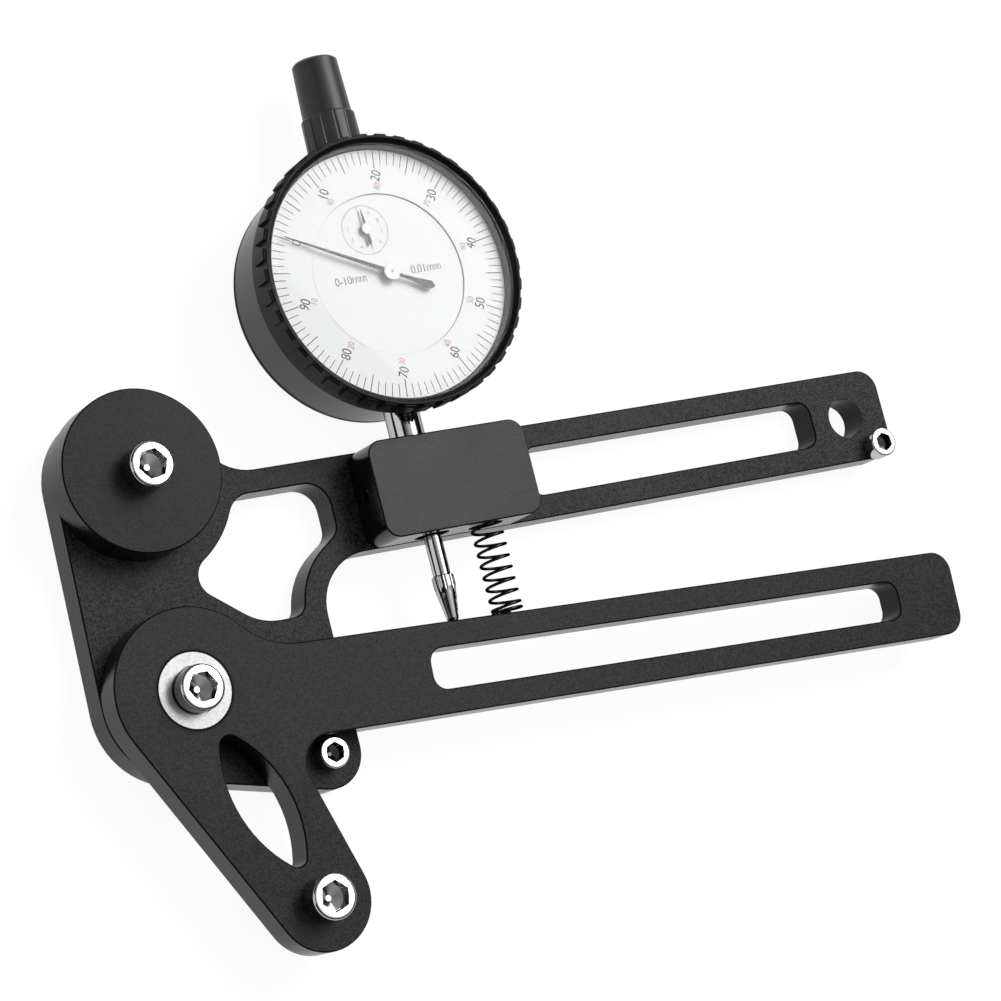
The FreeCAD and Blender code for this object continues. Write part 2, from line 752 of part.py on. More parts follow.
def gauge_back_cover():
    thickness = size("cover_joint") - size("case_back")
    body = turned("gauge_back_cover", [
        (0.0, 0.0),
        (size("case_radius") - 0.8, 0.0),
        (size("case_radius"), 0.8),
        (size("case_radius"), thickness),
        (size("case_bore") - 0.1, thickness),
        (size("case_bore") - 0.1, thickness + 1.0),
        (0.0, thickness + 1.0),
    ], dial_centre(size("case_back")))
    for x, y in cover_screw_places():
        circle_cut(body, x, y, 1.05)
        circle_cut(body, x, y, 1.75, depth=1.3, reverse=True)
    return body


def back_cover_screws():
    screws = []
    for x, y in cover_screw_places():
        head = Part.makeCylinder(1.6, 1.2, FreeCAD.Vector(0, 0, 0.1))
        shank = Part.makeCylinder(0.9, 5.6, FreeCAD.Vector(0, 0, 1.3))
        slot = Part.makeBox(4.0, 0.5, 0.6, FreeCAD.Vector(-2.0, -0.25, 0.1))
        screw = head.fuse(shank).cut(slot)
        screw.translate(FreeCAD.Vector(x.value, y.value, 0))
        screws.append(screw)
    return feature_piece("back_cover_screws", Part.makeCompound(screws), dial_centre(size("case_back")))


def gauge_stem():
    top = size("dial_y") - size("ledge_radius")
    bore = size("spindle_radius") + size("running_gap")
    return turned("gauge_stem", [
        (bore, 0.0),
        (size("stem_radius") - 0.4, 0.0),
        (size("stem_radius"), 0.4),
        (size("stem_radius"), top - size("stem_low")),
        (bore, top - size("stem_low")),
    ], at(size("gauge_x"), size("stem_low"), size("gauge_z"), UP_Y))


def top_guide_bush():
    low = size("dial_y") + size("ledge_radius")
    shoulder = size("collar_low") - 0.02
    bore = size("spindle_radius") + size("running_gap")
    return turned("top_guide_bush", [
        (bore, 0.0),
        (size("stem_radius"), 0.0),
        (size("stem_radius"), shoulder - low),
        (3.0, shoulder - low),
        (3.0, 118.0 - low),
        (bore, 118.0 - low),
    ], at(size("gauge_x"), low, size("gauge_z"), UP_Y))


def dust_cap():
    """A plain cap over the spindle's upper end, held in the fluted collar."""
    low = size("collar_low")
    step = size("cap_low") - low
    top = size("cap_top") - low
    return turned("dust_cap", [
        (3.05, 0.0),
        (4.0, 0.0),
        (4.0, step),
        (5.7, step),
        (5.25, top - 0.6),
        (4.65, top),
        (0.0, top),
        (0.0, top - 1.5),
        (3.05, top - 1.5),
    ], at(size("gauge_x"), low, size("gauge_z"), UP_Y))


def cap_collar():
    height = size("cap_low") - size("collar_low") - 0.05
    body = turned("cap_collar", [
        (4.0, 0.0), (6.0, 0.0), (6.4, 0.4), (6.2, height - 0.4), (5.8, height), (4.0, height),
    ], at(size("gauge_x"), size("collar_low"), size("gauge_z"), UP_Y))
    groove = circle_cut(body, 6.75, 0.0, 0.7)
    polar(body, groove, 14)
    return body


def bezel():
    """A rotating bezel: a plain skirt, a grip of broad teeth and a plain ring round the crystal."""
    back = size("bezel_back")
    height = size("bezel_front") - back
    crystal_seat = size("crystal_back") - back
    crystal_top = crystal_seat + size("crystal_thick")
    crystal_edge = size("crystal_radius") + 0.02
    inside = size("crystal_radius") - 0.5
    grip = size("bezel_radius")
    skirt = size("bezel_skirt")
    ring = size("bezel_ring")
    low = size("grip_low")
    high = height - size("grip_rim")
    inner_end = size("dial_front") - size("dial_thick") - 1.0 - back
    body = turned("bezel", [
        (size("bezel_bore"), 0.0),
        (skirt - 0.4, 0.0),
        (skirt, 0.4),
        (skirt, low),
        (grip, low + 0.3),
        (grip, high - 0.3),
        (grip - 0.3, high),
        (ring, high),
        (ring, height - 0.1),
        (ring - 0.1, height),
        (ring - 0.5, height),
        (crystal_edge, crystal_top + 0.08),
        (crystal_edge, crystal_seat),
        (inside, crystal_seat),
        (inside, inner_end),
        (size("bezel_bore"), inner_end),
    ], dial_centre(back))
    half = size("grip_width") / 2
    corners = box_corners(size("grip_root"), -1.0 * half, grip + 0.5, half)
    groove = outline_cut(body, corners, level=low, depth=high - low, reverse=True)
    polar(body, groove, size("grip_count"))
    return body


def plain_disc(label, radius, back, thickness, bore=None):
    inner = 0.0 if bore is None else bore
    return turned(label, box_corners(inner, 0.0, radius, thickness), dial_centre(back))


def bezel_friction_ring():
    """A wire ring in the groove of the case's neck, that holds the bezel by friction."""
    inner = size("bezel_bore") - 0.45
    outer = size("bezel_bore") - 0.03
    place = dial_centre(size("ring_back") + 0.1)
    return turned("bezel_friction_ring", box_corners(inner, 0.0, outer, 0.6), place)


def crystal():
    return plain_disc("crystal", size("crystal_radius"), size("crystal_back"), size("crystal_thick"))


def scale_ring():
    back = size("dial_front") - size("dial_thick")
    edge = size("scale_outer") - 0.05
    return plain_disc("scale_ring", edge, back, size("dial_thick"), size("inner_dial_radius") + 0.1)


def staff_place():
    """The gear staff, from the dial's centre: the rack fixes x, the centre distance fixes y."""
    rack_radius = RACK_TEETH * size("rack_pitch").value / (2 * math.pi)
    pitch_line = size("rack_flat").value - size("rack_depth").value / 2.2
    x = -(pitch_line + rack_radius)
    y = math.sqrt(size("train_distance").value ** 2 - x * x)
    return x, y


def dial_face():
    back = size("dial_front") - size("dial_step") - size("dial_thick")
    body = plain_disc("dial_face", size("inner_dial_radius"), back, size("dial_thick"))
    circle_cut(body, 0.0, 0.0, 0.8)
    x, y = staff_place()
    circle_cut(body, x, y, 0.7)
    feet = new_sketch(body)
    for angle in (30, 150, 270):
        draw_circle(feet, 15.5 * math.cos(math.radians(angle)), 15.5 * math.sin(math.radians(angle)), 0.9)
    drop = back - size("front_plate_back") - size("movement_plate")
    pad(body, feet, drop, reverse=True)
    return body


# ---------------------------------------------------------------- spindle

def spindle():
    low = size("spindle_low")
    length = size("spindle_top") - low
    radius = size("spindle_radius")
    body = turned("spindle", [
        (0.0, 0.0), (radius - 0.2, 0.0), (radius, 0.2),
        (radius, length - 0.4), (radius - 0.4, length), (0.0, length),
    ], at(size("gauge_x"), low, size("gauge_z"), UP_Y))
    staff_y = size("dial_y").value + staff_place()[1]
    pitch = size("rack_pitch")
    first = staff_y - low.value - pitch.value * (size("rack_count").value - 4)
    flat = -1.0 * size("rack_flat")
    rack_end = first + pitch * (size("rack_count") - 0.5)
    outline_cut(body, box_corners(-1.0 * radius - 1.0, first - 0.5 * pitch, flat, rack_end), "XZ_Plane")
    root = flat + size("rack_depth")
    space = outline_cut(body, [
        (flat - 0.1, first - 0.4 * pitch), (root, first - 0.2 * pitch),
        (root, first + 0.2 * pitch), (flat - 0.1, first + 0.4 * pitch),
    ], "XZ_Plane")
    pattern = body.newObject("PartDesign::LinearPattern", "spindle_rack")
    pattern.Originals = [space]
    pattern.Direction = (origin_feature(body, "Z_Axis"), [""])
    bind(pattern, "Length", pitch * (size("rack_count") - 1.0))
    bind(pattern, "Occurrences", size("rack_count"))
    body.Tip = pattern
    doc.recompute()
    return body


def contact_point():
    """A tapered point with a fluted collar; its round end rests on the lever's edge."""
    length = size("spindle_low") - size("tip_y")
    body = turned("contact_point", [
        (0.0, 0.0), (0.7, 0.0), (1.2, 0.3), (1.4, 0.9), (2.35, length - 3.2), (2.5, length - 2.6),
        (2.5, length - 0.2), (2.3, length - 0.02), (0.0, length - 0.02),
    ], at(size("gauge_x"), size("tip_y"), size("gauge_z"), UP_Y))
    flute = circle_cut(body, 2.95, 0.0, 0.65, level=length - 4.0, depth=4.5, reverse=True)
    polar(body, flute, 10)
    return body


def guide_yoke():
    """A ring on the spindle, with a pin that runs in the guide rail and an arm for the spring."""
    ring = Part.makeCylinder(2.5, 3.0).cut(Part.makeCylinder(2.0, 3.0))
    pin = Part.makeCylinder(0.75, 4.6, FreeCAD.Vector(0, 2.2, 1.5), FreeCAD.Vector(0, 1, 0))
    arm = Part.makeBox(4.2, 2.0, 1.6, FreeCAD.Vector(2.3, -1.0, 0.0))
    hole = Part.makeCylinder(0.5, 2.4, FreeCAD.Vector(5.4, -1.2, 0.8), FreeCAD.Vector(0, 1, 0))
    shape = ring.fuse([pin, arm]).cut(hole).removeSplitter()
    return feature_piece("guide_yoke", shape, at(size("gauge_x"), 73.0, size("gauge_z"), UP_Y))


def guide_rail():
    body = new_body("guide_rail", at(size("gauge_x"), 78.0, size("cover_joint") + 1.0))
    sketch = new_sketch(body)
    draw_outline(sketch, box_corners(-3.0, -8.0, 3.0, 10.0))
    pad(body, sketch, 4.2)
    outline_cut(body, box_corners(-0.85, -6.5, 0.85, 8.5))
    return body


def spindle_spring():
    """An extension spring that draws the spindle out of the case."""
    coil = Part.makeHelix(0.7, 11.6, 1.0)
    wire = Part.Wire([Part.Edge(Part.Circle(FreeCAD.Vector(1.0, 0, 0), FreeCAD.Vector(0, 1, 0.11), 0.2))])
    shape = Part.Wire(coil).makePipeShell([wire], True, True)
    return feature_piece("spindle_spring", shape, at(size("gauge_x") + 5.4, 61.1, size("gauge_z"), UP_Y))


def spring_post():
    height = size("gauge_z") - size("cover_joint") + 1.5
    return turned("spring_post", [
        (0.0, 0.0), (1.5, 0.0), (1.5, height - 4.0), (0.6, height - 4.0), (0.6, height), (0.0, height),
    ], at(size("gauge_x") + 5.4, 60.0, size("cover_joint") + 1.0))


# ---------------------------------------------------------------- gear train

def toothed_wheel(teeth, module, thickness, bore, phase, back):
    """A wheel with straight-sided teeth, cut thin so that it runs with play."""
    pitch = teeth * module / 2
    step = 2 * math.pi / teeth
    points = []
    for i in range(teeth):
        middle = phase + i * step
        for radius, width in ((pitch - 1.25 * module, -0.34), (pitch + 0.85 * module, -0.12),
                              (pitch + 0.85 * module, 0.12), (pitch - 1.25 * module, 0.34)):
            angle = middle + width * step
            points.append(FreeCAD.Vector(radius * math.cos(angle), radius * math.sin(angle), back))
    shape = Part.Face(Part.makePolygon(points + points[:1])).extrude(FreeCAD.Vector(0, 0, thickness))
    return shape.cut(Part.makeCylinder(bore, thickness, FreeCAD.Vector(0, 0, back))) if bore else shape


def gear_staff():
    """The rack pinion and its staff. The staff runs in the bridge and the front plate."""
    x, y = staff_place()
    module = size("rack_pitch").value / math.pi
    pinion = toothed_wheel(RACK_TEETH, module, 3.4, 0.0, 0.0, 11.3)
    rear = Part.makeCylinder(0.4, 3.0, FreeCAD.Vector(0, 0, 8.9))
    body = Part.makeCylinder(0.8, 5.3, FreeCAD.Vector(0, 0, 14.6))
    front = Part.makeCylinder(0.4, 4.23, FreeCAD.Vector(0, 0, 19.8))
    shape = pinion.fuse([rear, body, front]).removeSplitter()
    return feature_piece("gear_staff", shape, dial_centre(0).multiply(at(x, y, 0)))


def drive_wheel():
    x, y = staff_place()
    phase = math.atan2(-y, -x)
    shape = toothed_wheel(WHEEL_TEETH, size("module").value, 0.5, 0.8, phase, 17.6)
    return feature_piece("drive_wheel", shape, dial_centre(0).multiply(at(x, y, 0)))


def centre_arbor():
    x, y = staff_place()
    phase = math.atan2(y, x) + math.pi / PINION_TEETH
    pinion = toothed_wheel(PINION_TEETH, size("module").value, 2.2, 0.0, phase, 17.0)
    rear = Part.makeCylinder(0.4, 1.5, FreeCAD.Vector(0, 0, 15.7))
    front = Part.makeCylinder(0.4, 5.75, FreeCAD.Vector(0, 0, 19.0))
    shape = pinion.fuse([rear, front]).removeSplitter()
    return feature_piece("centre_arbor", shape, dial_centre(0))


def hairspring_wheel():
    x, y = staff_place()
    phase = math.atan2(y, x)
    wheel = toothed_wheel(WHEEL_TEETH, size("module").value, 0.5, 0.0, phase, 17.6)
    staff = Part.makeCylinder(0.4, 4.9, FreeCAD.Vector(0, 0, 15.7))
    shape = wheel.fuse(staff).removeSplitter()
    return feature_piece("hairspring_wheel", shape, dial_centre(0).multiply(at(-x, -y, 0)))


def hairspring():
    """A flat spiral of half rounds about the hairspring wheel's staff."""
    strip = 0.1
    growth = 0.35
    edges = {}
    for side in (0.0, strip):
        radius = 0.6 + side
        x = radius
        edges[side] = []
        for turn in range(10):
            away = 1 if turn % 2 == 0 else -1
            radius_here = 0.6 + side + growth * turn
            middle = FreeCAD.Vector(x - away * radius_here, 0, 0)
            top = middle + FreeCAD.Vector(0, away * radius_here, 0)
            end = middle - FreeCAD.Vector(away * radius_here, 0, 0)
            edges[side].append(Part.Arc(FreeCAD.Vector(x, 0, 0), top, end).toShape())
            x = end.x
    tips = [[edges[side][k].Vertexes[0].Point if k == 0 else edges[side][-1].Vertexes[1].Point
             for side in (0.0, strip)] for k in (0, -1)]
    ends = [Part.makeLine(first, second) for first, second in tips]
    loop = Part.Wire(Part.__sortEdges__(edges[0.0] + edges[strip] + ends))
    shape = Part.Face(loop).extrude(FreeCAD.Vector(0, 0, 0.8))
    x, y = staff_place()
    return feature_piece("hairspring", shape, dial_centre(18.6).multiply(at(-x, -y, 0)))


def pillar_places():
    return [(-17.0, -3.0), (16.5, -6.0), (13.0, 14.0)]


def movement_plate_with_holes(label, radius, back):
    body = plain_disc(label, radius, back, size("movement_plate"))
    x, y = staff_place()
    for px, py, bore in ((0.0, 0.0, 0.44), (-x, -y, 0.44)):
        circle_cut(body, px, py, bore)
    return body


def movement_rear_plate():
    edge = size("ledge_radius") - 0.1
    body = movement_plate_with_holes("movement_rear_plate", edge, size("rear_plate_back"))
    x, y = staff_place()
    circle_cut(body, x, y, 1.0)
    return body


def movement_front_plate():
    body = movement_plate_with_holes("movement_front_plate", Size("21.5", 21.5), size("front_plate_back"))
    x, y = staff_place()
    circle_cut(body, x, y, 0.44)
    return body


def movement_pillars():
    low = size("rear_plate_back").value + size("movement_plate").value
    height = size("front_plate_back").value - low
    pillars = [Part.makeCylinder(1.3, height, FreeCAD.Vector(x, y, low)) for x, y in pillar_places()]
    return feature_piece("movement_pillars", Part.makeCompound(pillars), dial_centre(0))


def pinion_bridge():
    """A bar behind the spindle that carries the rear end of the gear staff, on two posts."""
    x, y = staff_place()
    bar = Part.makeBox(14.5, 4.4, 1.0, FreeCAD.Vector(x - 12.3, y - 2.2, 8.8))
    bar = bar.cut(Part.makeCylinder(0.44, 1.0, FreeCAD.Vector(x, y, 8.8)))
    height = size("rear_plate_back").value - 9.8
    posts = [Part.makeCylinder(1.2, height, FreeCAD.Vector(x - reach, y, 9.8)) for reach in (10.4, 5.6)]
    return feature_piece("pinion_bridge", bar.fuse(posts).removeSplitter(), dial_centre(0))


# ---------------------------------------------------------------- pointers

def needle(label, corners, thickness, bore, place):
    body = new_body(label, place)
    sketch = new_sketch(body)
    draw_outline(sketch, corners)
    draw_circle(sketch, 0.0, 0.0, bore)
    pad(body, sketch, thickness)
    return body


def pointer():
    return needle("pointer", [
        (26.3, -0.1), (26.3, 0.1), (2.0, 0.5), (0.0, 1.5), (-2.0, 0.36), (-5.5, 0.42), (-9.8, 0.95),
        (-10.8, 0.2), (-10.8, -0.2), (-9.8, -0.95), (-5.5, -0.42), (-2.0, -0.36), (0.0, -1.5), (2.0, -0.5),
    ], 0.25, 1.0, dial_centre(24.15, turn_z(POINTER_ANGLE)))


def pointer_hub():
    """The pointer sits on the hub's neck, between a boss below it and a disc above it."""
    return turned("pointer_hub", [
        (0.42, 0.0), (1.5, 0.0), (1.5, 0.44), (0.98, 0.44), (0.98, 0.71),
        (1.95, 0.71), (1.95, 0.96), (1.85, 1.06), (0.42, 1.06),
    ], dial_centre(23.7))


def revolution_pointer():
    x, y = staff_place()
    place = dial_centre(0).multiply(at(x, y, 23.55, turn_z(REV_POINTER_ANGLE)))
    return needle("revolution_pointer", [
        (4.5, -0.06), (4.5, 0.06), (1.0, 0.32), (0.0, 0.9), (-1.0, 0.22), (-3.0, 0.42), (-3.7, 0.1),
        (-3.7, -0.1), (-3.0, -0.42), (-1.0, -0.22), (0.0, -0.9), (1.0, -0.32),
    ], 0.2, 0.42, place)


def revolution_hub():
    x, y = staff_place()
    return turned("revolution_hub", [
        (0.42, 0.0), (1.3, 0.0), (1.3, 0.2), (1.2, 0.3), (0.42, 0.3),
    ], dial_centre(0).multiply(at(x, y, 23.76)))


# ---------------------------------------------------------------- assembly

def build_pieces():
    pieces = [base_plate(), spacer_disc(), gauge_block(), pivot_bush(), thrust_washer(), lever_plate()]
    pieces += contact_screws() + stop_screws()
    pieces += [block_screws(), stem_clamp_screw(), spring_guide_pin(), return_spring()]
    pieces += [gauge_case(), gauge_back_cover(), back_cover_screws(), gauge_stem(), top_guide_bush(),
               dust_cap(), cap_collar(), bezel(), bezel_friction_ring(), crystal(), scale_ring(), dial_face()]
    pieces += [spindle(), contact_point(), guide_yoke(), guide_rail(), spindle_spring(), spring_post()]
    pieces += [gear_staff(), drive_wheel(), centre_arbor(), hairspring_wheel(), hairspring(),
               movement_rear_plate(), movement_front_plate(), movement_pillars(), pinion_bridge(),
               pointer(), pointer_hub(), revolution_pointer(), revolution_hub()]
    doc.recompute()
    return pieces


def check_document():
    for item in doc.Objects:
        if "Invalid" in item.State or "Error" in item.State:
            raise ValueError("%s failed: %s" % (item.Label, item.State))


def write_parts(pieces):
    os.makedirs("parts", exist_ok=True)
    for piece in pieces:
        shape = piece.Shape
        if shape.isNull() or not shape.isValid() or shape.Volume <= 0:
            raise ValueError("%s has no sound solid" % piece.Label)
    for piece in pieces:
        piece.Shape.exportStep(os.path.join("parts", piece.Label + ".step"))
        print("%-22s %10.2f mm3" % (piece.Label, piece.Shape.Volume))


fill_sheet()
all_pieces = build_pieces()
check_document()
write_parts(all_pieces)
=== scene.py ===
import math

import bpy
from mathutils import Euler, Matrix, Vector


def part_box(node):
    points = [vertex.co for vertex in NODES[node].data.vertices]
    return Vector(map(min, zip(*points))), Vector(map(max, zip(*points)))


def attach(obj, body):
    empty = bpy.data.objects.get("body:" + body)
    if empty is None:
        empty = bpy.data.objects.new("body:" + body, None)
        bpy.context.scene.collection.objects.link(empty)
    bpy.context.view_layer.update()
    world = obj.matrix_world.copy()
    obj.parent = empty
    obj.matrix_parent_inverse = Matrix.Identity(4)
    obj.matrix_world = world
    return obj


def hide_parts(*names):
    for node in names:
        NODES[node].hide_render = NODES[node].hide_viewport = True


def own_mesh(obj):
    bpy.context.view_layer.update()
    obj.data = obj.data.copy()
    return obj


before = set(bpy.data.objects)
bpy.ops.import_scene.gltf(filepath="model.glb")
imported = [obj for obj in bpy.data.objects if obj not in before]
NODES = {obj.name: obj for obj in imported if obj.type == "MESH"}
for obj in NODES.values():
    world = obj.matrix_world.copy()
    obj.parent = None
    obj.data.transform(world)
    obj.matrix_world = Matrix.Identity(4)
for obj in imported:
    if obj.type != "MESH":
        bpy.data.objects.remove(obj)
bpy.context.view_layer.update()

MM = 0.001
MICRON = 0.001 * MM

# Centres of the dial and of its small counter dial, and the front faces of the two dial parts.
DIAL = Vector((0.0654, 0.0818, 0.0))
COUNTER = Vector((0.062213, 0.0923282, 0.0))
RING_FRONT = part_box("scale_ring")[1].z
FACE_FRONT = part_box("dial_face")[1].z

# How far round from the dial's top its zero is set, in degrees, and the slope of its figures.
DIAL_TURN = 65.5

# Turns that bring a piece's own axis to Z, for marks that run round it.
ALONG_Z = (0.0, 0.0, 0.0)
ALONG_Y = (math.pi / 2, 0.0, 0.0)

# Colours of the metals.
NICKEL = (0.66, 0.655, 0.645)
PLATED_STEEL = (0.6, 0.6, 0.59)
POLISHED_STEEL = (0.62, 0.62, 0.615)
BLASTED_STEEL = (0.43, 0.43, 0.425)
ARBOR_STEEL = (0.12, 0.12, 0.12)
SPRING_STEEL = (0.2, 0.2, 0.2)
BLUED_WIRE = (0.04, 0.04, 0.041)
BLACK_OXIDE = (0.05, 0.05, 0.052)
BRASS = (0.68, 0.48, 0.2)


# ---------------------------------------------------------------- node trees

def add(tree, kind, values=None, **settings):
    """One node with its settings and the values of its open inputs."""
    node = tree.nodes.new(kind)
    for name, value in settings.items():
        setattr(node, name, value)
    for name, value in (values or {}).items():
        node.inputs[name].default_value = value
    return node


def calc(tree, operation, first, second=None):
    """A Math node; each input is a socket or a number."""
    node = add(tree, "ShaderNodeMath", operation=operation)
    for place, value in enumerate((first, second)):
        if isinstance(value, (int, float)):
            node.inputs[place].default_value = value
        elif value is not None:
            tree.links.new(value, node.inputs[place])
    return node.outputs[0]


def ramp(tree, source, low, high, out_low=0.0, out_high=1.0):
    """Maps a value from one range to another and keeps it there."""
    node = add(tree, "ShaderNodeMapRange",
               {"From Min": low, "From Max": high, "To Min": out_low, "To Max": out_high},
               clamp=True)
    tree.links.new(source, node.inputs["Value"])
    return node.outputs["Result"]


def weighed(tree, share, first, second):
    """Two values added up: this share of the first one and the rest of the second."""
    return calc(tree, "ADD", calc(tree, "MULTIPLY", first, share),
                calc(tree, "MULTIPLY", second, 1.0 - share))


def blend_colour(tree, factor, first, second):
    """Two colours mixed by a factor from another node; each colour is a socket or a tuple."""
    node = add(tree, "ShaderNodeMix", data_type="RGBA")
    tree.links.new(factor, node.inputs["Factor"])
    sockets = [socket for socket in node.inputs if socket.type == "RGBA"]
    for socket, value in zip(sockets, (first, second)):
        if isinstance(value, tuple):
            socket.default_value = value + (1.0,)
        else:
            tree.links.new(value, socket)
    return [socket for socket in node.outputs if socket.type == "RGBA"][0]


def either(tree, factor, first, second):
    """One of two surfaces, by a factor."""
    mix = add(tree, "ShaderNodeMixShader")
    tree.links.new(factor, mix.inputs["Fac"])
    tree.links.new(first, mix.inputs[1])
    tree.links.new(second, mix.inputs[2])
    return mix.outputs[0]


def noise(tree, vector, scale, detail=2.0, rough=0.5):
    """Soft noise at a scale that another node gives."""
    node = add(tree, "ShaderNodeTexNoise", {"Detail": detail, "Roughness": rough})
    tree.links.new(scale, node.inputs["Scale"])
    tree.links.new(vector, node.inputs["Vector"])
    return node.outputs["Fac"]


def distance_from_axis(tree, vector):
    """How far a place is from the vector's Z axis, and its height along that axis."""
    parts = add(tree, "ShaderNodeSeparateXYZ")
    tree.links.new(vector, parts.inputs[0])
    across = calc(tree, "MULTIPLY", parts.outputs["X"], parts.outputs["X"])
    up = calc(tree, "MULTIPLY", parts.outputs["Y"], parts.outputs["Y"])
    return calc(tree, "SQRT", calc(tree, "ADD", across, up)), parts.outputs["Z"]


def new_group(name, inputs, outputs):
    """A shader node group with named sockets; inputs are (name, kind, default)."""
    tree = bpy.data.node_groups.new(name, "ShaderNodeTree")
    for label, kind, default in inputs:
        socket = tree.interface.new_socket(label, in_out="INPUT", socket_type="NodeSocket" + kind)
        if default is not None:
            socket.default_value = default
    for label, kind in outputs:
        tree.interface.new_socket(label, in_out="OUTPUT", socket_type="NodeSocket" + kind)
    return tree, tree.nodes.new("NodeGroupInput"), tree.nodes.new("NodeGroupOutput")


def make_grain():
    """Fine blasted grain: small pits and grains of slightly uneven tone."""
    tree, given, out = new_group(
        "Blasted grain", [("Vector", "Vector", None), ("Scale", "Float", 3200.0)],
        [("Height", "Float"), ("Tone", "Float")])
    vector, scale = given.outputs["Vector"], given.outputs["Scale"]
    patch_scale, pit_scale, pit_reach = 0.34, 0.8, 0.45
    fine = noise(tree, vector, scale)
    patches = noise(tree, vector, calc(tree, "MULTIPLY", scale, patch_scale))
    cells = add(tree, "ShaderNodeTexVoronoi", feature="F1")
    tree.links.new(vector, cells.inputs["Vector"])
    tree.links.new(calc(tree, "MULTIPLY", scale, pit_scale), cells.inputs["Scale"])
    pits = ramp(tree, cells.outputs["Distance"], 0.0, pit_reach)
    tree.links.new(weighed(tree, 0.6, fine, pits), out.inputs["Height"])
    tone = weighed(tree, 0.85, fine, patches)
    tree.links.new(ramp(tree, tone, 0.38, 0.62), out.inputs["Tone"])
    return tree


def make_handling():
    """Wear from handling: cloudy smudges, and fine scratches that run in two directions."""
    tree, given, out = new_group(
        "Handling wear", [("Vector", "Vector", None), ("Scale", "Float", 60.0)],
        [("Smudge", "Float"), ("Scratch", "Float")])
    vector, scale = given.outputs["Vector"], given.outputs["Scale"]
    thread_scale = 1.4
    cloud = noise(tree, vector, scale, 4.0, 0.6)
    tree.links.new(ramp(tree, cloud, 0.35, 0.7), out.inputs["Smudge"])
    scratches = []
    for turn, stretch in ((0.5, 34.0), (-1.1, 26.0)):
        lay = add(tree, "ShaderNodeMapping",
                  {"Rotation": (0.2, 0.1, turn), "Scale": (1.0, stretch, 1.0)})
        tree.links.new(vector, lay.inputs["Vector"])
        thread = noise(tree, lay.outputs["Vector"],
                       calc(tree, "MULTIPLY", scale, thread_scale), 3.0, 0.7)
        scratches.append(ramp(tree, thread, 0.66, 0.74))
    tree.links.new(calc(tree, "MAXIMUM", *scratches), out.inputs["Scratch"])
    return tree


def make_turning():
    """Rings left by a lathe tool around the Z axis of the vector that it is given."""
    tree, given, out = new_group(
        "Lathe rings", [("Vector", "Vector", None), ("Rings per metre", "Float", 6000.0)],
        [("Height", "Float"), ("Tone", "Float")])
    pace = given.outputs["Rings per metre"]
    wall_pace, wide_pace = 0.6, 0.2
    radius, level = distance_from_axis(tree, given.outputs["Vector"])
    place = add(tree, "ShaderNodeCombineXYZ")
    tree.links.new(radius, place.inputs["X"])
    tree.links.new(calc(tree, "MULTIPLY", level, wall_pace), place.inputs["Y"])
    rings = noise(tree, place.outputs[0], pace, 3.0, 0.7)
    wide = noise(tree, place.outputs[0], calc(tree, "MULTIPLY", pace, wide_pace))
    tree.links.new(rings, out.inputs["Height"])
    tree.links.new(ramp(tree, weighed(tree, 0.5, rings, wide), 0.35, 0.65), out.inputs["Tone"])
    return tree


def make_milled():
    """A milled plate's broken corners, tilted between its front and its walls, and its walls."""
    tree, _, out = new_group("Milled plate", [], [("Corner", "Float"), ("Wall", "Float")])
    surface = add(tree, "ShaderNodeNewGeometry")
    parts = add(tree, "ShaderNodeSeparateXYZ")
    tree.links.new(surface.outputs["Normal"], parts.inputs[0])
    tilt = calc(tree, "ABSOLUTE", parts.outputs["Z"])
    off_the_wall = ramp(tree, tilt, 0.25, 0.5)
    off_the_front = ramp(tree, tilt, 0.85, 0.97, 1.0, 0.0)
    tree.links.new(calc(tree, "MULTIPLY", off_the_wall, off_the_front), out.inputs["Corner"])
    tree.links.new(ramp(tree, tilt, 0.1, 0.25, 1.0, 0.0), out.inputs["Wall"])
    return tree


GRAIN = make_grain()
HANDLING = make_handling()
TURNING = make_turning()
MILLED = make_milled()


# ---------------------------------------------------------------- finishes

def grey(tone):
    """A plain grey of one tone."""
    return (tone, tone, tone)


def toned(colour, share):
    """A colour brought down to a share of its own strength."""
    return tuple(share * part for part in colour)


def new_finish(name):
    """A material with its tree, its shader and the object coordinates."""
    material = bpy.data.materials.new(name)
    material.use_nodes = True
    tree = material.node_tree
    tree.nodes.clear()
    shader = add(tree, "ShaderNodeBsdfPrincipled")
    out = add(tree, "ShaderNodeOutputMaterial")
    tree.links.new(shader.outputs[0], out.inputs["Surface"])
    place = add(tree, "ShaderNodeTexCoord").outputs["Object"]
    return material, tree, shader, place


def use(tree, group, vector=None, **values):
    """One of the shared groups, placed in a material with its own values."""
    node = add(tree, "ShaderNodeGroup", node_tree=group)
    if vector is not None:
        tree.links.new(vector, node.inputs["Vector"])
    for name, value in values.items():
        node.inputs[name.replace("_", " ")].default_value = value
    return node


def moved(tree, vector, centre, turn=ALONG_Z):
    """The vector as seen from a piece's own centre, turned so that its axis is Z."""
    shift = add(tree, "ShaderNodeVectorMath", operation="SUBTRACT")
    tree.links.new(vector, shift.inputs[0])
    shift.inputs[1].default_value = centre
    turned = add(tree, "ShaderNodeMapping", {"Rotation": turn})
    tree.links.new(shift.outputs[0], turned.inputs["Vector"])
    return turned.outputs["Vector"]


def shaded(material, *centre):
    """What a second colour needs on a finish: its tree, shader, colour and place from a centre."""
    tree = material.node_tree
    shader = [node for node in tree.nodes if node.type == "BSDF_PRINCIPLED"][0]
    colour = shader.inputs["Base Color"].links[0].from_socket
    place = add(tree, "ShaderNodeTexCoord").outputs["Object"]
    return tree, shader, colour, moved(tree, place, centre)


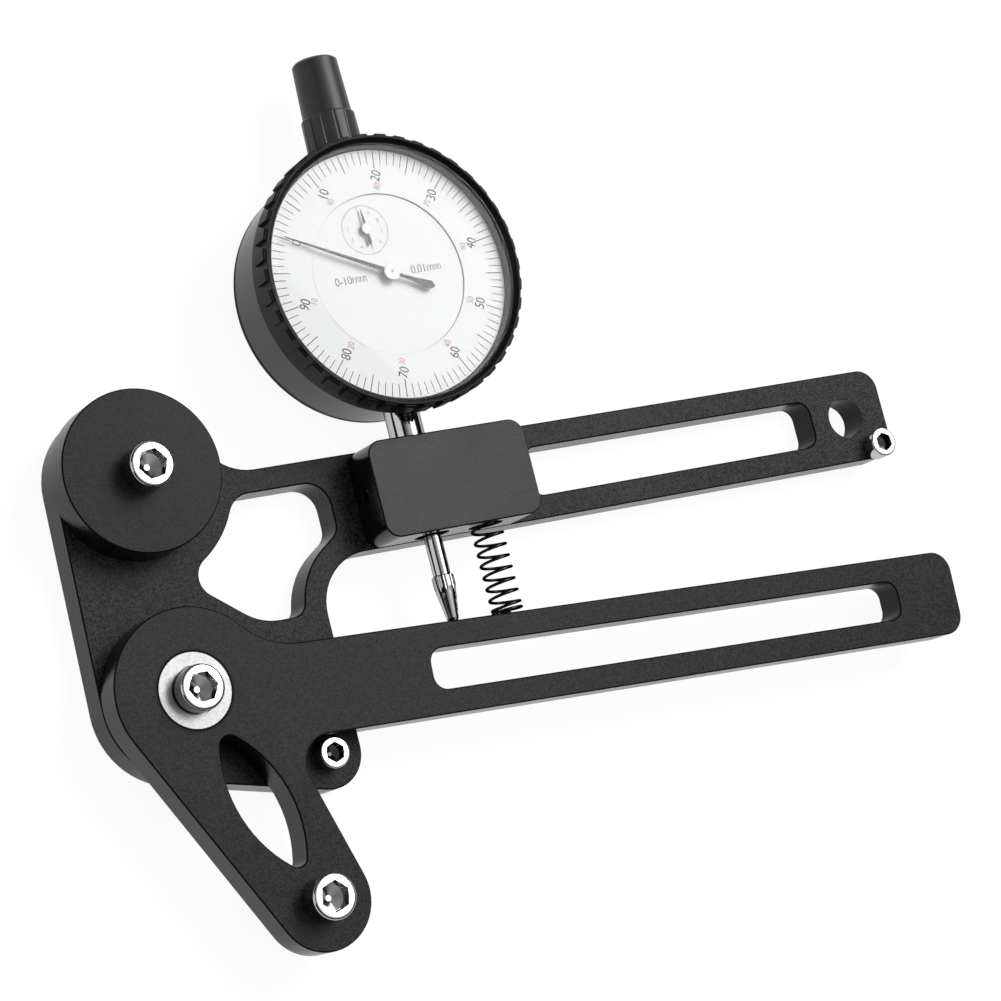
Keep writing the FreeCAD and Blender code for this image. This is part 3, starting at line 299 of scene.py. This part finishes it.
def raise_bumps(tree, shader, height, depth, strength):
    """Bumps of a depth in metres on the surface."""
    bump = add(tree, "ShaderNodeBump", {"Distance": depth, "Strength": strength})
    tree.links.new(height, bump.inputs["Height"])
    tree.links.new(bump.outputs["Normal"], shader.inputs["Normal"])


def anodised(name, dark, light, shift, gloss, grain_scale):
    """Black anodised aluminium, bead blasted, with smoother walls; painted shade darkens the walls
    and turns the broken corners black.
    """
    corner_shade_share, wall_shade_share, scuff_share = 0.95, 0.6, 0.04
    material, tree, shader, place = new_finish(name)
    here = moved(tree, place, (shift, 0.3 * shift, 0.0))
    grain = use(tree, GRAIN, here, Scale=grain_scale)
    wear = use(tree, HANDLING, here, Scale=38.0)
    milled = use(tree, MILLED)
    corner, wall = milled.outputs["Corner"], milled.outputs["Wall"]
    colour = blend_colour(tree, grain.outputs["Tone"], (dark, dark, 1.03 * dark),
                          (light, light, 1.03 * light))
    # Painted shade: walls and broken corners darkened towards black, standing in for the dark
    # reflections they show.
    painted_shade = calc(tree, "MAXIMUM", calc(tree, "MULTIPLY", corner, corner_shade_share),
                calc(tree, "MULTIPLY", wall, wall_shade_share))
    colour = blend_colour(tree, painted_shade, colour, grey(0.0012))
    scuffed = calc(tree, "MULTIPLY", wear.outputs["Scratch"], scuff_share)
    colour = blend_colour(tree, scuffed, colour, grey(0.09))
    tree.links.new(colour, shader.inputs["Base Color"])
    rough = calc(tree, "ADD", ramp(tree, wear.outputs["Smudge"], 0.0, 1.0, 0.34, 0.4),
                 ramp(tree, grain.outputs["Tone"], 0.0, 1.0, 0.0, 0.1))
    rough = calc(tree, "ADD", rough, calc(tree, "MULTIPLY", wall, -0.2))
    rough = calc(tree, "ADD", rough, calc(tree, "MULTIPLY", corner, 0.3))
    tree.links.new(rough, shader.inputs["Roughness"])
    shader.inputs["Specular IOR Level"].default_value = gloss
    raise_bumps(tree, shader, grain.outputs["Height"], 50 * MICRON, 0.6)
    return material


def bright_metal(name, centre, axis, colour, rough, rings=5200.0, depth=4 * MICRON, rim=0.75):
    """Turned metal: faint rings about the piece's own axis, smudges and a few scratches."""
    material, tree, shader, place = new_finish(name)
    here = moved(tree, place, centre, axis)
    turning = use(tree, TURNING, here, Rings_per_metre=rings)
    wear = use(tree, HANDLING, here, Scale=220.0)
    smudge = wear.outputs["Smudge"]
    shade = blend_colour(tree, turning.outputs["Tone"], toned(colour, 0.9), colour)
    shade = blend_colour(tree, calc(tree, "MULTIPLY", smudge, 0.12), shade, toned(colour, 0.7))
    tree.links.new(shade, shader.inputs["Base Color"])
    uneven = weighed(tree, 0.5, turning.outputs["Tone"], smudge)
    tree.links.new(ramp(tree, uneven, 0.0, 1.0, *rough), shader.inputs["Roughness"])
    shader.inputs["Metallic"].default_value = 1.0
    shader.inputs["Specular Tint"].default_value = (rim, rim, rim, 1.0)
    height = calc(tree, "ADD", turning.outputs["Height"],
                  calc(tree, "MULTIPLY", wear.outputs["Scratch"], -0.3))
    raise_bumps(tree, shader, height, depth, 0.6)
    return material


def satin_black(name, colour, rough, depth, coat=0.0, gloss=0.5):
    """Painted metal or moulded plastic, mostly black, with a fine orange-peel surface."""
    material, tree, shader, place = new_finish(name)
    grain = use(tree, GRAIN, place, Scale=1500.0)
    wear = use(tree, HANDLING, place, Scale=90.0)
    base = blend_colour(tree, grain.outputs["Tone"], toned(colour, 0.8), colour)
    scuffed = calc(tree, "MULTIPLY", wear.outputs["Scratch"], 0.08)
    tree.links.new(blend_colour(tree, scuffed, base, grey(0.12)), shader.inputs["Base Color"])
    tree.links.new(ramp(tree, wear.outputs["Smudge"], 0.0, 1.0, *rough),
                   shader.inputs["Roughness"])
    shader.inputs["Specular IOR Level"].default_value = gloss
    shader.inputs["Coat Weight"].default_value = coat
    shader.inputs["Coat Roughness"].default_value = 0.12
    raise_bumps(tree, shader, grain.outputs["Height"], depth, 0.5)
    return material


def printed(name, colour, rough=0.55):
    """Printing ink or enamel, a little uneven."""
    material, tree, shader, place = new_finish(name)
    grain = use(tree, GRAIN, place, Scale=5200.0)
    base = blend_colour(tree, grain.outputs["Tone"], toned(colour, 0.93), colour)
    tree.links.new(base, shader.inputs["Base Color"])
    tree.links.new(ramp(tree, grain.outputs["Tone"], 0.0, 1.0, rough, rough + 0.1),
                   shader.inputs["Roughness"])
    raise_bumps(tree, shader, grain.outputs["Height"], 4 * MICRON, 0.4)
    return material


def clear_glass():
    """The crystal: clear and smooth, with faint wiping marks; light passes it straight."""
    material, tree, shader, place = new_finish("crystal_clear")
    wear = use(tree, HANDLING, place, Scale=70.0)
    shader.inputs["Transmission Weight"].default_value = 1.0
    shader.inputs["IOR"].default_value = 1.15
    shader.inputs["Base Color"].default_value = (0.99, 0.995, 0.99, 1.0)
    tree.links.new(ramp(tree, wear.outputs["Scratch"], 0.0, 1.0, 0.0, 0.03),
                   shader.inputs["Roughness"])
    path = add(tree, "ShaderNodeLightPath")
    lit = calc(tree, "MAXIMUM", path.outputs["Is Shadow Ray"], path.outputs["Is Diffuse Ray"])
    clear = add(tree, "ShaderNodeBsdfTransparent").outputs[0]
    out = [node for node in tree.nodes if node.type == "OUTPUT_MATERIAL"][0]
    tree.links.new(either(tree, lit, shader.outputs[0], clear), out.inputs["Surface"])
    return material


# ---------------------------------------------------------------- finishes of the CAD pieces

def paint(material, *names):
    """Gives CAD nodes a finish in their own material slots."""
    for name in names:
        for slot in NODES[name].material_slots:
            slot.material = material


def middle(name):
    """The middle of a CAD node's box."""
    low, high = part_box(name)
    return tuple((low + high) / 2)


def lever_finish():
    """The lever's finish, with a thin black ring of painted shade on it round the bush's flange."""
    material = anodised("black_lever", dark=0.003, light=0.038, shift=0.31, gloss=0.18,
                        grain_scale=2600.0)
    tree, shader, blasted, here = shaded(material, 0.0, 0.0, 0.0)
    radius = distance_from_axis(tree, here)[0]
    # Painted shade: a thin black ring on the lever just outside the bush's flange.
    ring = calc(tree, "MULTIPLY", ramp(tree, radius, 8.3 * MM, 8.4 * MM),
                ramp(tree, radius, 8.85 * MM, 9.0 * MM, 1.0, 0.0))
    tree.links.new(blend_colour(tree, ring, blasted, grey(0.0)), shader.inputs["Base Color"])
    return material


def dress_plates():
    """The anodised pieces, each with its own run of grain."""
    paint(anodised("black_base_plate", dark=0.0002, light=0.056, shift=0.0, gloss=0.14,
                   grain_scale=2700.0), "base_plate")
    paint(lever_finish(), "lever_plate")
    paint(anodised("black_disc", dark=0.004, light=0.034, shift=0.57, gloss=0.17,
                   grain_scale=2600.0), "spacer_disc")
    paint(anodised("black_block", dark=0.008, light=0.044, shift=0.83, gloss=0.3,
                   grain_scale=2600.0), "gauge_block")


def socket_screw(name, reach, socket_shade):
    """Nickel plate, with painted shade that darkens the hexagon socket."""
    material = bright_metal("nickel_" + name, middle(name), ALONG_Z, NICKEL, rough=(0.12, 0.2))
    across, up = middle(name)[:2]
    tree, shader, plated, here = shaded(material, across, up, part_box(name)[1].z)
    radius, level = distance_from_axis(tree, here)
    # Painted shade: the hexagon socket below the head's face takes a darker grey.
    within = ramp(tree, radius, (reach - 0.1) * MM, reach * MM, 1.0, 0.0)
    sunk = ramp(tree, level, -0.8 * MM, -0.3 * MM, 1.0, 0.0)
    painted_socket_shade = calc(tree, "MULTIPLY", within, sunk)
    tree.links.new(blend_colour(tree, painted_socket_shade, plated, grey(socket_shade)), shader.inputs["Base Color"])
    return material


def dress_screws():
    """The five socket screws, and the small screws, posts and arbors."""
    for name in ("upper_contact_screw", "pivot_screw", "lower_contact_screw"):
        paint(socket_screw(name, reach=3.6, socket_shade=0.5), name)
    for name in ("release_stop_screw", "squeeze_stop_screw"):
        paint(socket_screw(name, reach=2.4, socket_shade=0.08), name)
    for name in ("block_screws", "back_cover_screws", "movement_pillars", "spring_post",
                 "gear_staff"):
        paint(bright_metal("plated_" + name, middle(name), ALONG_Z, PLATED_STEEL,
                           rough=(0.2, 0.3)), name)
    paint(bright_metal("arbor_steel", tuple(DIAL), ALONG_Z, ARBOR_STEEL, rough=(0.3, 0.4)),
          "centre_arbor")
    paint(bright_metal("black_oxide", middle("stem_clamp_screw"), ALONG_Z, BLACK_OXIDE,
                       rough=(0.3, 0.4)), "stem_clamp_screw")


def satin_flange():
    """The bush's blasted flange, uneven in tone, with a black line of painted shade round its edge.
    """
    low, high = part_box("pivot_bush")
    reach = (high.x - low.x) / 2
    centre = middle("pivot_bush")
    material = bright_metal("satin_flange", centre, ALONG_Z, BLASTED_STEEL, rough=(0.3, 0.4),
                            rings=4200.0, depth=10 * MICRON)
    tree, shader, steel, here = shaded(material, *centre)
    grain = use(tree, GRAIN, here, Scale=1900.0)
    mottled = calc(tree, "MULTIPLY", grain.outputs["Tone"], 0.5)
    steel = blend_colour(tree, mottled, steel, grey(0.24))
    # Painted shade: a black line at the flange's outer edge.
    edge = ramp(tree, distance_from_axis(tree, here)[0], reach - 0.4 * MM, reach - 0.3 * MM)
    tree.links.new(blend_colour(tree, edge, steel, grey(0.02)), shader.inputs["Base Color"])
    return material


def dress_metal():
    """The bush, its washer, the polished rods, the brass of the movement and the springs."""
    paint(satin_flange(), "pivot_bush")
    paint(satin_black("black_nylon_washer", (0.015, 0.015, 0.016), rough=(0.4, 0.5),
                      depth=10 * MICRON, gloss=0.2), "thrust_washer")
    for name in ("gauge_stem", "spindle", "contact_point", "guide_yoke", "guide_rail",
                 "spring_guide_pin"):
        paint(bright_metal("polished_" + name, middle(name), ALONG_Y, POLISHED_STEEL,
                           rough=(0.05, 0.11), rings=5000.0, depth=2 * MICRON, rim=0.25), name)
    for name in ("movement_rear_plate", "movement_front_plate", "pinion_bridge", "drive_wheel",
                 "hairspring_wheel", "top_guide_bush"):
        paint(bright_metal("brass_" + name, middle(name), ALONG_Z, BRASS, rough=(0.24, 0.36)),
              name)
    for name in ("hairspring", "spindle_spring", "bezel_friction_ring", "return_spring"):
        paint(bright_metal("sprung_" + name, middle(name), ALONG_Z, SPRING_STEEL,
                           rough=(0.2, 0.3)), name)


def bezel_paint():
    """Black enamel on the bezel, with a painted highlight that makes the inner wall beside the
    crystal paler.
    """
    material = satin_black("bezel_paint", (0.008, 0.008, 0.0085), rough=(0.36, 0.46),
                           depth=10 * MICRON, gloss=0.14)
    tree, shader, painted, here = shaded(material, *DIAL)
    # Painted highlight: the inner wall beside the crystal is paler, for the bright line at the
    # crystal's edge.
    inside = ramp(tree, distance_from_axis(tree, here)[0], 29.2 * MM, 29.4 * MM, 1.0, 0.0)
    tree.links.new(blend_colour(tree, inside, painted, (0.14, 0.14, 0.145)),
                   shader.inputs["Base Color"])
    return material


def dress_gauge():
    """The outside of the dial indicator, its dial and its pointers."""
    paint(satin_black("case_enamel", (0.014, 0.014, 0.0145), rough=(0.2, 0.28),
                      depth=10 * MICRON, coat=1.0, gloss=0.0), "gauge_case")
    paint(satin_black("cover_paint", (0.006, 0.006, 0.0065), rough=(0.4, 0.5),
                      depth=10 * MICRON, gloss=0.1), "gauge_back_cover")
    paint(bezel_paint(), "bezel")
    paint(satin_black("cap_plastic_black", (0.045, 0.045, 0.046), rough=(0.34, 0.4),
                      depth=16 * MICRON, gloss=0.4), "dust_cap", "cap_collar")
    paint(printed("dial_enamel", (0.93, 0.935, 0.94), rough=0.45), "dial_face", "scale_ring")
    paint(satin_black("pointer_grey", (0.13, 0.13, 0.135), rough=(0.4, 0.5),
                      depth=4 * MICRON, gloss=0.25), "pointer", "revolution_pointer")
    paint(satin_black("hub_silver", (0.86, 0.86, 0.85), rough=(0.25, 0.35), depth=2 * MICRON),
          "pointer_hub")
    paint(satin_black("counter_hub_silver", (0.8, 0.77, 0.72), rough=(0.25, 0.35),
                      depth=2 * MICRON), "revolution_hub")
    paint(clear_glass(), "crystal")


# ---------------------------------------------------------------- modelling helpers

def select_only(piece):
    """Selects one piece and makes it the active one."""
    bpy.ops.object.select_all(action="DESELECT")
    piece.select_set(True)
    bpy.context.view_layer.objects.active = piece


def copy_of(piece):
    """A copy with its own mesh."""
    other = piece.copy()
    other.data = piece.data.copy()
    bpy.context.scene.collection.objects.link(other)
    return other


def join(pieces, name):
    """Joins pieces into one with this name."""
    bpy.ops.object.select_all(action="DESELECT")
    for piece in pieces:
        piece.select_set(True)
    bpy.context.view_layer.objects.active = pieces[0]
    bpy.ops.object.join()
    pieces[0].name = name
    pieces[0].data.name = name
    return pieces[0]


def settle(piece):
    """Puts the place into the mesh, so that the object sits at the origin."""
    select_only(piece)
    bpy.ops.object.transform_apply(location=True, rotation=True, scale=True)


def give(piece, material, body):
    """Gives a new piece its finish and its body."""
    piece.data.materials.clear()
    piece.data.materials.append(material)
    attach(piece, body)


def around(centre, degrees):
    """A turn about an axis along Z through the centre."""
    turn = Matrix.Rotation(math.radians(degrees), 4, "Z")
    return Matrix.Translation(centre) @ turn @ Matrix.Translation(-Vector(centre))


# ---------------------------------------------------------------- dial printing

# How thick the printing is, and how far it reaches into the enamel.
INK = 0.03 * MM
SUNK = 0.005 * MM

STROKES = 100
FIGURES = 10


def stroke(name, inner, outer, width, centre, front, angle=0.0):
    """One printed stroke along a radius, with its four upright edges rounded."""
    level = front + INK / 2 - SUNK
    place = Vector(centre) + Vector(((inner + outer) / 2, 0.0, level))
    bpy.ops.object.select_all(action="DESELECT")
    bpy.ops.mesh.primitive_cube_add(size=1.0, location=place, scale=(outer - inner, width, INK))
    piece = bpy.context.object
    piece.name = name
    settle(piece)
    bpy.ops.object.mode_set(mode="EDIT")
    bpy.ops.mesh.select_all(action="DESELECT")
    bpy.ops.object.mode_set(mode="OBJECT")
    for edge in piece.data.edges:
        ends = [piece.data.vertices[i].co for i in edge.vertices]
        edge.select = abs(ends[0].z - ends[1].z) > INK / 2
    bpy.ops.object.mode_set(mode="EDIT")
    bpy.ops.mesh.select_mode(type="EDGE")
    bpy.ops.mesh.bevel(offset=width * 0.3, segments=2, affect="EDGES")
    bpy.ops.object.mode_set(mode="OBJECT")
    piece.data.transform(around(centre, angle))
    return piece


def printed_ring(name, radius, width, centre, front, steps):
    """A printed circle: a thin flat band with a little height."""
    place = Vector(centre) + Vector((0.0, 0.0, front - SUNK))
    inner = radius - width / 2
    outer = radius + width / 2
    bpy.ops.object.select_all(action="DESELECT")
    bpy.ops.mesh.primitive_circle_add(vertices=steps, radius=inner, location=place)
    piece = bpy.context.object
    piece.name = name
    settle(piece)
    bpy.ops.object.mode_set(mode="EDIT")
    bpy.ops.mesh.select_all(action="SELECT")
    bpy.ops.mesh.extrude_edges_move()
    bpy.ops.transform.resize(value=(outer / inner, outer / inner, 1.0), center_override=place)
    bpy.ops.mesh.select_all(action="SELECT")
    bpy.ops.mesh.extrude_region_move(TRANSFORM_OT_translate={"value": (0.0, 0.0, INK)})
    bpy.ops.mesh.select_all(action="SELECT")
    bpy.ops.mesh.normals_make_consistent(inside=False)
    bpy.ops.object.mode_set(mode="OBJECT")
    return piece


def figure(text, size, place, degrees, stretch, spread=0.0):
    """Printed figures, centred on their place, made a mesh before they are placed."""
    bpy.ops.object.select_all(action="DESELECT")
    bpy.ops.object.text_add(location=(0.0, 0.0, 0.0))
    letters = bpy.context.object.data
    letters.body = text
    letters.size = size
    letters.align_x = "CENTER"
    letters.align_y = "CENTER"
    letters.extrude = INK / 2
    letters.offset = spread
    letters.resolution_u = 4
    letters.space_character = 0.95
    bpy.ops.object.convert(target="MESH")
    piece = bpy.context.object
    corners = [vertex.co for vertex in piece.data.vertices]
    centre_x = (min(c.x for c in corners) + max(c.x for c in corners)) / 2
    centre_y = (min(c.y for c in corners) + max(c.y for c in corners)) / 2
    level = Vector((0.0, 0.0, INK / 2 - SUNK))
    piece.data.transform(Matrix.Translation((-centre_x, -centre_y, 0.0)))
    piece.data.transform(Matrix.Diagonal((stretch, 1.0, 1.0, 1.0)))
    piece.data.transform(Matrix.Rotation(math.radians(degrees), 4, "Z"))
    piece.data.transform(Matrix.Translation(Vector(place) + level))
    return piece


def on_dial(radius, degrees, front, centre=DIAL):
    """A place on a dial, by its distance from the centre and its angle from X."""
    angle = math.radians(degrees)
    return Vector((centre.x + radius * math.cos(angle), centre.y + radius * math.sin(angle), front))


def scale_strokes(ink):
    """A hundred strokes round the scale ring: every fifth is longer."""
    outer = 28.4 * MM
    patterns = {}
    for label, inner, width in (("five", 24.3, 0.18), ("one", 25.45, 0.16)):
        patterns[label] = stroke("stroke_" + label, inner * MM, outer, width * MM, DIAL,
                                 RING_FRONT)
    strokes = []
    for count in range(STROKES):
        piece = copy_of(patterns["one" if count % 5 else "five"])
        piece.data.transform(around(DIAL, 90.0 + DIAL_TURN - 360.0 / STROKES * count))
        strokes.append(piece)
    for pattern in patterns.values():
        bpy.data.objects.remove(pattern)
    give(join(strokes, "scale_strokes"), ink, "bezel")


def scale_figures(ink, red):
    """Black figures that count one way round and small red ones that count the other way."""
    black_circle, black_size = 22.75 * MM, 3.3 * MM
    red_circle, red_size = 20.3 * MM, 2.2 * MM
    black, small = [], []
    for count in range(FIGURES):
        angle = 90.0 + DIAL_TURN - 360.0 / FIGURES * count
        place = on_dial(black_circle, angle, RING_FRONT)
        black.append(figure(str(10 * count), black_size, place, DIAL_TURN, 0.82))
        place = on_dial(red_circle, angle, RING_FRONT)
        back = str(100 - 10 * count if count else 0)
        small.append(figure(back, red_size, place, DIAL_TURN, 0.8, -0.01 * MM))
    give(join(black, "scale_figures"), ink, "bezel")
    give(join(small, "reverse_figures"), red, "bezel")


def counter_dial(ink):
    """The small dial of whole turns: a circle, ten short strokes and ten figures."""
    circle, stroke_start, figure_circle = 5.65 * MM, 5.1 * MM, 4.15 * MM
    line = 0.1 * MM
    pieces = [printed_ring("counter_circle", circle, line, COUNTER, FACE_FRONT, steps=96)]
    for count in range(FIGURES):
        angle = 100.0 + 360.0 / FIGURES * count
        pieces.append(stroke("counter_stroke", stroke_start, circle, line, COUNTER, FACE_FRONT,
                             angle))
        place = on_dial(figure_circle, angle, FACE_FRONT, COUNTER)
        pieces.append(figure(str(count), 1.35 * MM, place, 1.0, 0.8, -0.005 * MM))
    give(join(pieces, "counter_printing"), ink, "frame")


def dial_words(ink):
    """The range and the smallest step, as plain numbers and units."""
    size, stretch = 2.7 * MM, 0.93
    left = Vector((55.7 * MM, 81.5 * MM, FACE_FRONT))
    right = Vector((74.9 * MM, 82.2 * MM, FACE_FRONT))
    pieces = [figure("0-10mm", size, left, 3.5, stretch),
              figure("0.01mm", size, right, 3.0, stretch)]
    give(join(pieces, "range_printing"), ink, "frame")


def dial_joint(ink):
    """A faint line where the turning scale ring meets the fixed dial."""
    line = printed_ring("scale_joint", 18.62 * MM, 0.12 * MM, DIAL, RING_FRONT, steps=160)
    give(line, ink, "bezel")


# ---------------------------------------------------------------- return spring

# The spring's axis, the radius of its wire and that of its coils, along the wire's middle.
SPRING_AXIS = Vector((79.05 * MM, 0.0, 13.5 * MM))
WIRE = 0.36 * MM
COIL = 3.36 * MM

# Its close turns on the lever, their pitch, its open turns, and where the wire starts.
CLOSE_TURNS = 1.2
CLOSE_PITCH = 0.75 * MM
OPEN_TURNS = 9.7
FIRST_TURN = 0.4


def coil(name, low, turns, pitch, start):
    """Round wire wound about the spring's axis, from a ring by the Screw modifier."""
    bpy.ops.object.select_all(action="DESELECT")
    bpy.ops.mesh.primitive_circle_add(vertices=12, radius=WIRE, location=(COIL, 0.0, 0.0))
    piece = bpy.context.object
    piece.name = name
    settle(piece)
    winding = piece.modifiers.new("winding", "SCREW")
    winding.axis = "Y"
    winding.angle = 2 * math.pi * turns
    winding.screw_offset = pitch * turns
    winding.iterations = 1
    winding.steps = winding.render_steps = int(36 * turns)
    winding.use_smooth_shade = True
    select_only(piece)
    bpy.ops.object.modifier_apply(modifier=winding.name)
    piece.data.transform(Matrix.Rotation(2 * math.pi * start, 4, "Y"))
    piece.data.transform(Matrix.Translation(SPRING_AXIS + Vector((0.0, low, 0.0))))
    return piece


def return_spring(steel):
    """The compression spring: close turns on the lever, then open ones up to the block."""
    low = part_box("return_spring")[0].y + WIRE
    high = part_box("return_spring")[1].y - WIRE
    open_low = low + CLOSE_TURNS * CLOSE_PITCH
    open_pitch = (high - open_low) / OPEN_TURNS
    closed = coil("close_coils", low, CLOSE_TURNS, CLOSE_PITCH, FIRST_TURN)
    opened = coil("open_coils", open_low, OPEN_TURNS, open_pitch, FIRST_TURN + CLOSE_TURNS)
    piece = join([closed, opened], "wound_return_spring")
    select_only(piece)
    bpy.ops.object.mode_set(mode="EDIT")
    bpy.ops.mesh.select_all(action="SELECT")
    bpy.ops.mesh.remove_doubles(threshold=0.02 * MM)
    bpy.ops.mesh.select_all(action="DESELECT")
    bpy.ops.mesh.select_mode(type="EDGE")
    bpy.ops.mesh.select_non_manifold(extend=False)
    bpy.ops.mesh.edge_face_add()
    bpy.ops.mesh.select_all(action="SELECT")
    bpy.ops.mesh.normals_make_consistent(inside=False)
    bpy.ops.object.mode_set(mode="OBJECT")
    bpy.ops.object.shade_smooth_by_angle(angle=math.radians(60))
    give(piece, steel, "frame")
    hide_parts("return_spring")
    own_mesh(piece)


# ---------------------------------------------------------------- studio

def glowing(tree, glow, tone):
    """A matt surface that also shines a little by itself."""
    both = add(tree, "ShaderNodeAddShader")
    matt = add(tree, "ShaderNodeBsdfDiffuse", {"Color": grey(tone) + (1.0,)})
    shine = add(tree, "ShaderNodeEmission", {"Color": grey(1.0) + (1.0,), "Strength": glow})
    tree.links.new(matt.outputs[0], both.inputs[0])
    tree.links.new(shine.outputs[0], both.inputs[1])
    return both.outputs[0]


def make_floor():
    """A plain white floor that metal and glass see as well, and that keeps a soft shadow."""
    bpy.ops.object.select_all(action="DESELECT")
    bpy.ops.mesh.primitive_plane_add(size=60.0, location=(0.0, 0.0, 0.0))
    floor = bpy.context.object
    floor.name = "floor"
    material = bpy.data.materials.new("studio_floor")
    material.use_nodes = True
    tree = material.node_tree
    tree.nodes.clear()
    out = add(tree, "ShaderNodeOutputMaterial")
    path = add(tree, "ShaderNodeLightPath")
    mirrored = calc(tree, "MAXIMUM", path.outputs["Is Glossy Ray"],
                    path.outputs["Is Transmission Ray"])
    plain = add(tree, "ShaderNodeBsdfDiffuse", {"Color": grey(0.7) + (1.0,)}).outputs[0]
    seen = glowing(tree, glow=0.93, tone=0.16)
    reflected = glowing(tree, glow=0.82, tone=0.08)
    shown = either(tree, path.outputs["Is Camera Ray"], plain, seen)
    tree.links.new(either(tree, mirrored, shown, reflected), out.inputs["Surface"])
    floor.data.materials.append(material)


def make_world():
    """A soft studio dome: bright overhead, a low window at the left, and dark elsewhere."""
    dark, bright, window = 0.01, 0.95, 0.9
    world = bpy.data.worlds.new("studio")
    bpy.context.scene.world = world
    world.use_nodes = True
    tree = world.node_tree
    tree.nodes.clear()
    out = add(tree, "ShaderNodeOutputWorld")
    sky = add(tree, "ShaderNodeBackground", {"Color": grey(1.0) + (1.0,)})
    parts = add(tree, "ShaderNodeSeparateXYZ")
    tree.links.new(add(tree, "ShaderNodeTexCoord").outputs["Generated"], parts.inputs[0])
    overhead = calc(tree, "MULTIPLY", ramp(tree, parts.outputs["Z"], 0.6, 0.95),
                    ramp(tree, parts.outputs["X"], -0.6, 0.3))
    dome = ramp(tree, overhead, 0.0, 1.0, dark, bright)
    sideways = calc(tree, "ABSOLUTE", calc(tree, "SUBTRACT", parts.outputs["Y"], 0.15))
    low_left = calc(tree, "MULTIPLY", ramp(tree, parts.outputs["X"], -0.76, -0.7, 1.0, 0.0),
                    ramp(tree, sideways, 0.26, 0.32, 1.0, 0.0))
    dome = calc(tree, "MAXIMUM", dome, calc(tree, "MULTIPLY", low_left, window))
    seen = add(tree, "ShaderNodeLightPath").outputs["Is Camera Ray"]
    tree.links.new(calc(tree, "MAXIMUM", dome, seen), sky.inputs["Strength"])
    tree.links.new(sky.outputs[0], out.inputs["Surface"])


def soft_lamp(name, place, target, width, height, radiance):
    """An area lamp aimed at a point, set by how bright its face looks."""
    data = bpy.data.lights.new(name, "AREA")
    data.shape = "RECTANGLE"
    data.size = width
    data.size_y = height
    data.energy = radiance * math.pi * width * height
    lamp = bpy.data.objects.new(name, data)
    bpy.context.scene.collection.objects.link(lamp)
    lamp.location = place
    lamp.rotation_euler = (target - place).to_track_quat("-Z", "Y").to_euler()


def make_lamps():
    """A key lamp and an overhead one, and two cards for the bands of light in the steel."""
    target = Vector((0.085, 0.03, 0.01))
    distance = 1.25
    key_place = target + distance * Vector((0.52, 0.46, 0.72))
    overhead_place = target + distance * Vector((0.38, 0.2, 0.9))
    for name, place, width, height, radiance in (
            ("key", key_place, 0.7, 0.7, 5.65),
            ("overhead", overhead_place, 0.4, 0.4, 3.5),
            ("right_card", Vector((1.034, 0.181, 1.135)), 0.2, 0.2, 2.0),
            ("front_card", Vector((0.54, -0.04, 1.135)), 0.24, 0.2, 2.4)):
        soft_lamp(name, place, target, width, height, radiance)


def make_camera():
    """The camera, above the tool and to its left."""
    data = bpy.data.cameras.new("camera")
    data.lens = 105.128
    data.sensor_width = 36.0
    data.clip_start = 0.01
    data.clip_end = 50.0
    camera = bpy.data.objects.new("camera", data)
    bpy.context.scene.collection.objects.link(camera)
    camera.location = (-0.24262087, -0.05547434, 0.58023173)
    camera.rotation_euler = Euler((0.261666, -0.474837, -0.277842), "XYZ")
    bpy.context.scene.camera = camera


# ---------------------------------------------------------------- all of it

dress_plates()
dress_screws()
dress_metal()
dress_gauge()

black_ink = printed("ink_black", (0.035, 0.035, 0.037))
red_ink = printed("ink_red", (0.6, 0.2, 0.24))
grey_ink = printed("ink_grey", (0.2, 0.2, 0.205))
pale_ink = printed("ink_pale", (0.62, 0.62, 0.625))
scale_strokes(black_ink)
scale_figures(black_ink, red_ink)
counter_dial(grey_ink)
dial_words(grey_ink)
dial_joint(pale_ink)
return_spring(bright_metal("blued_spring_wire", tuple(SPRING_AXIS), ALONG_Y, BLUED_WIRE,
                           rough=(0.2, 0.3), rim=0.0))

make_floor()
make_world()
make_lamps()
make_camera()
bpy.context.scene.view_settings.view_transform = "Standard"
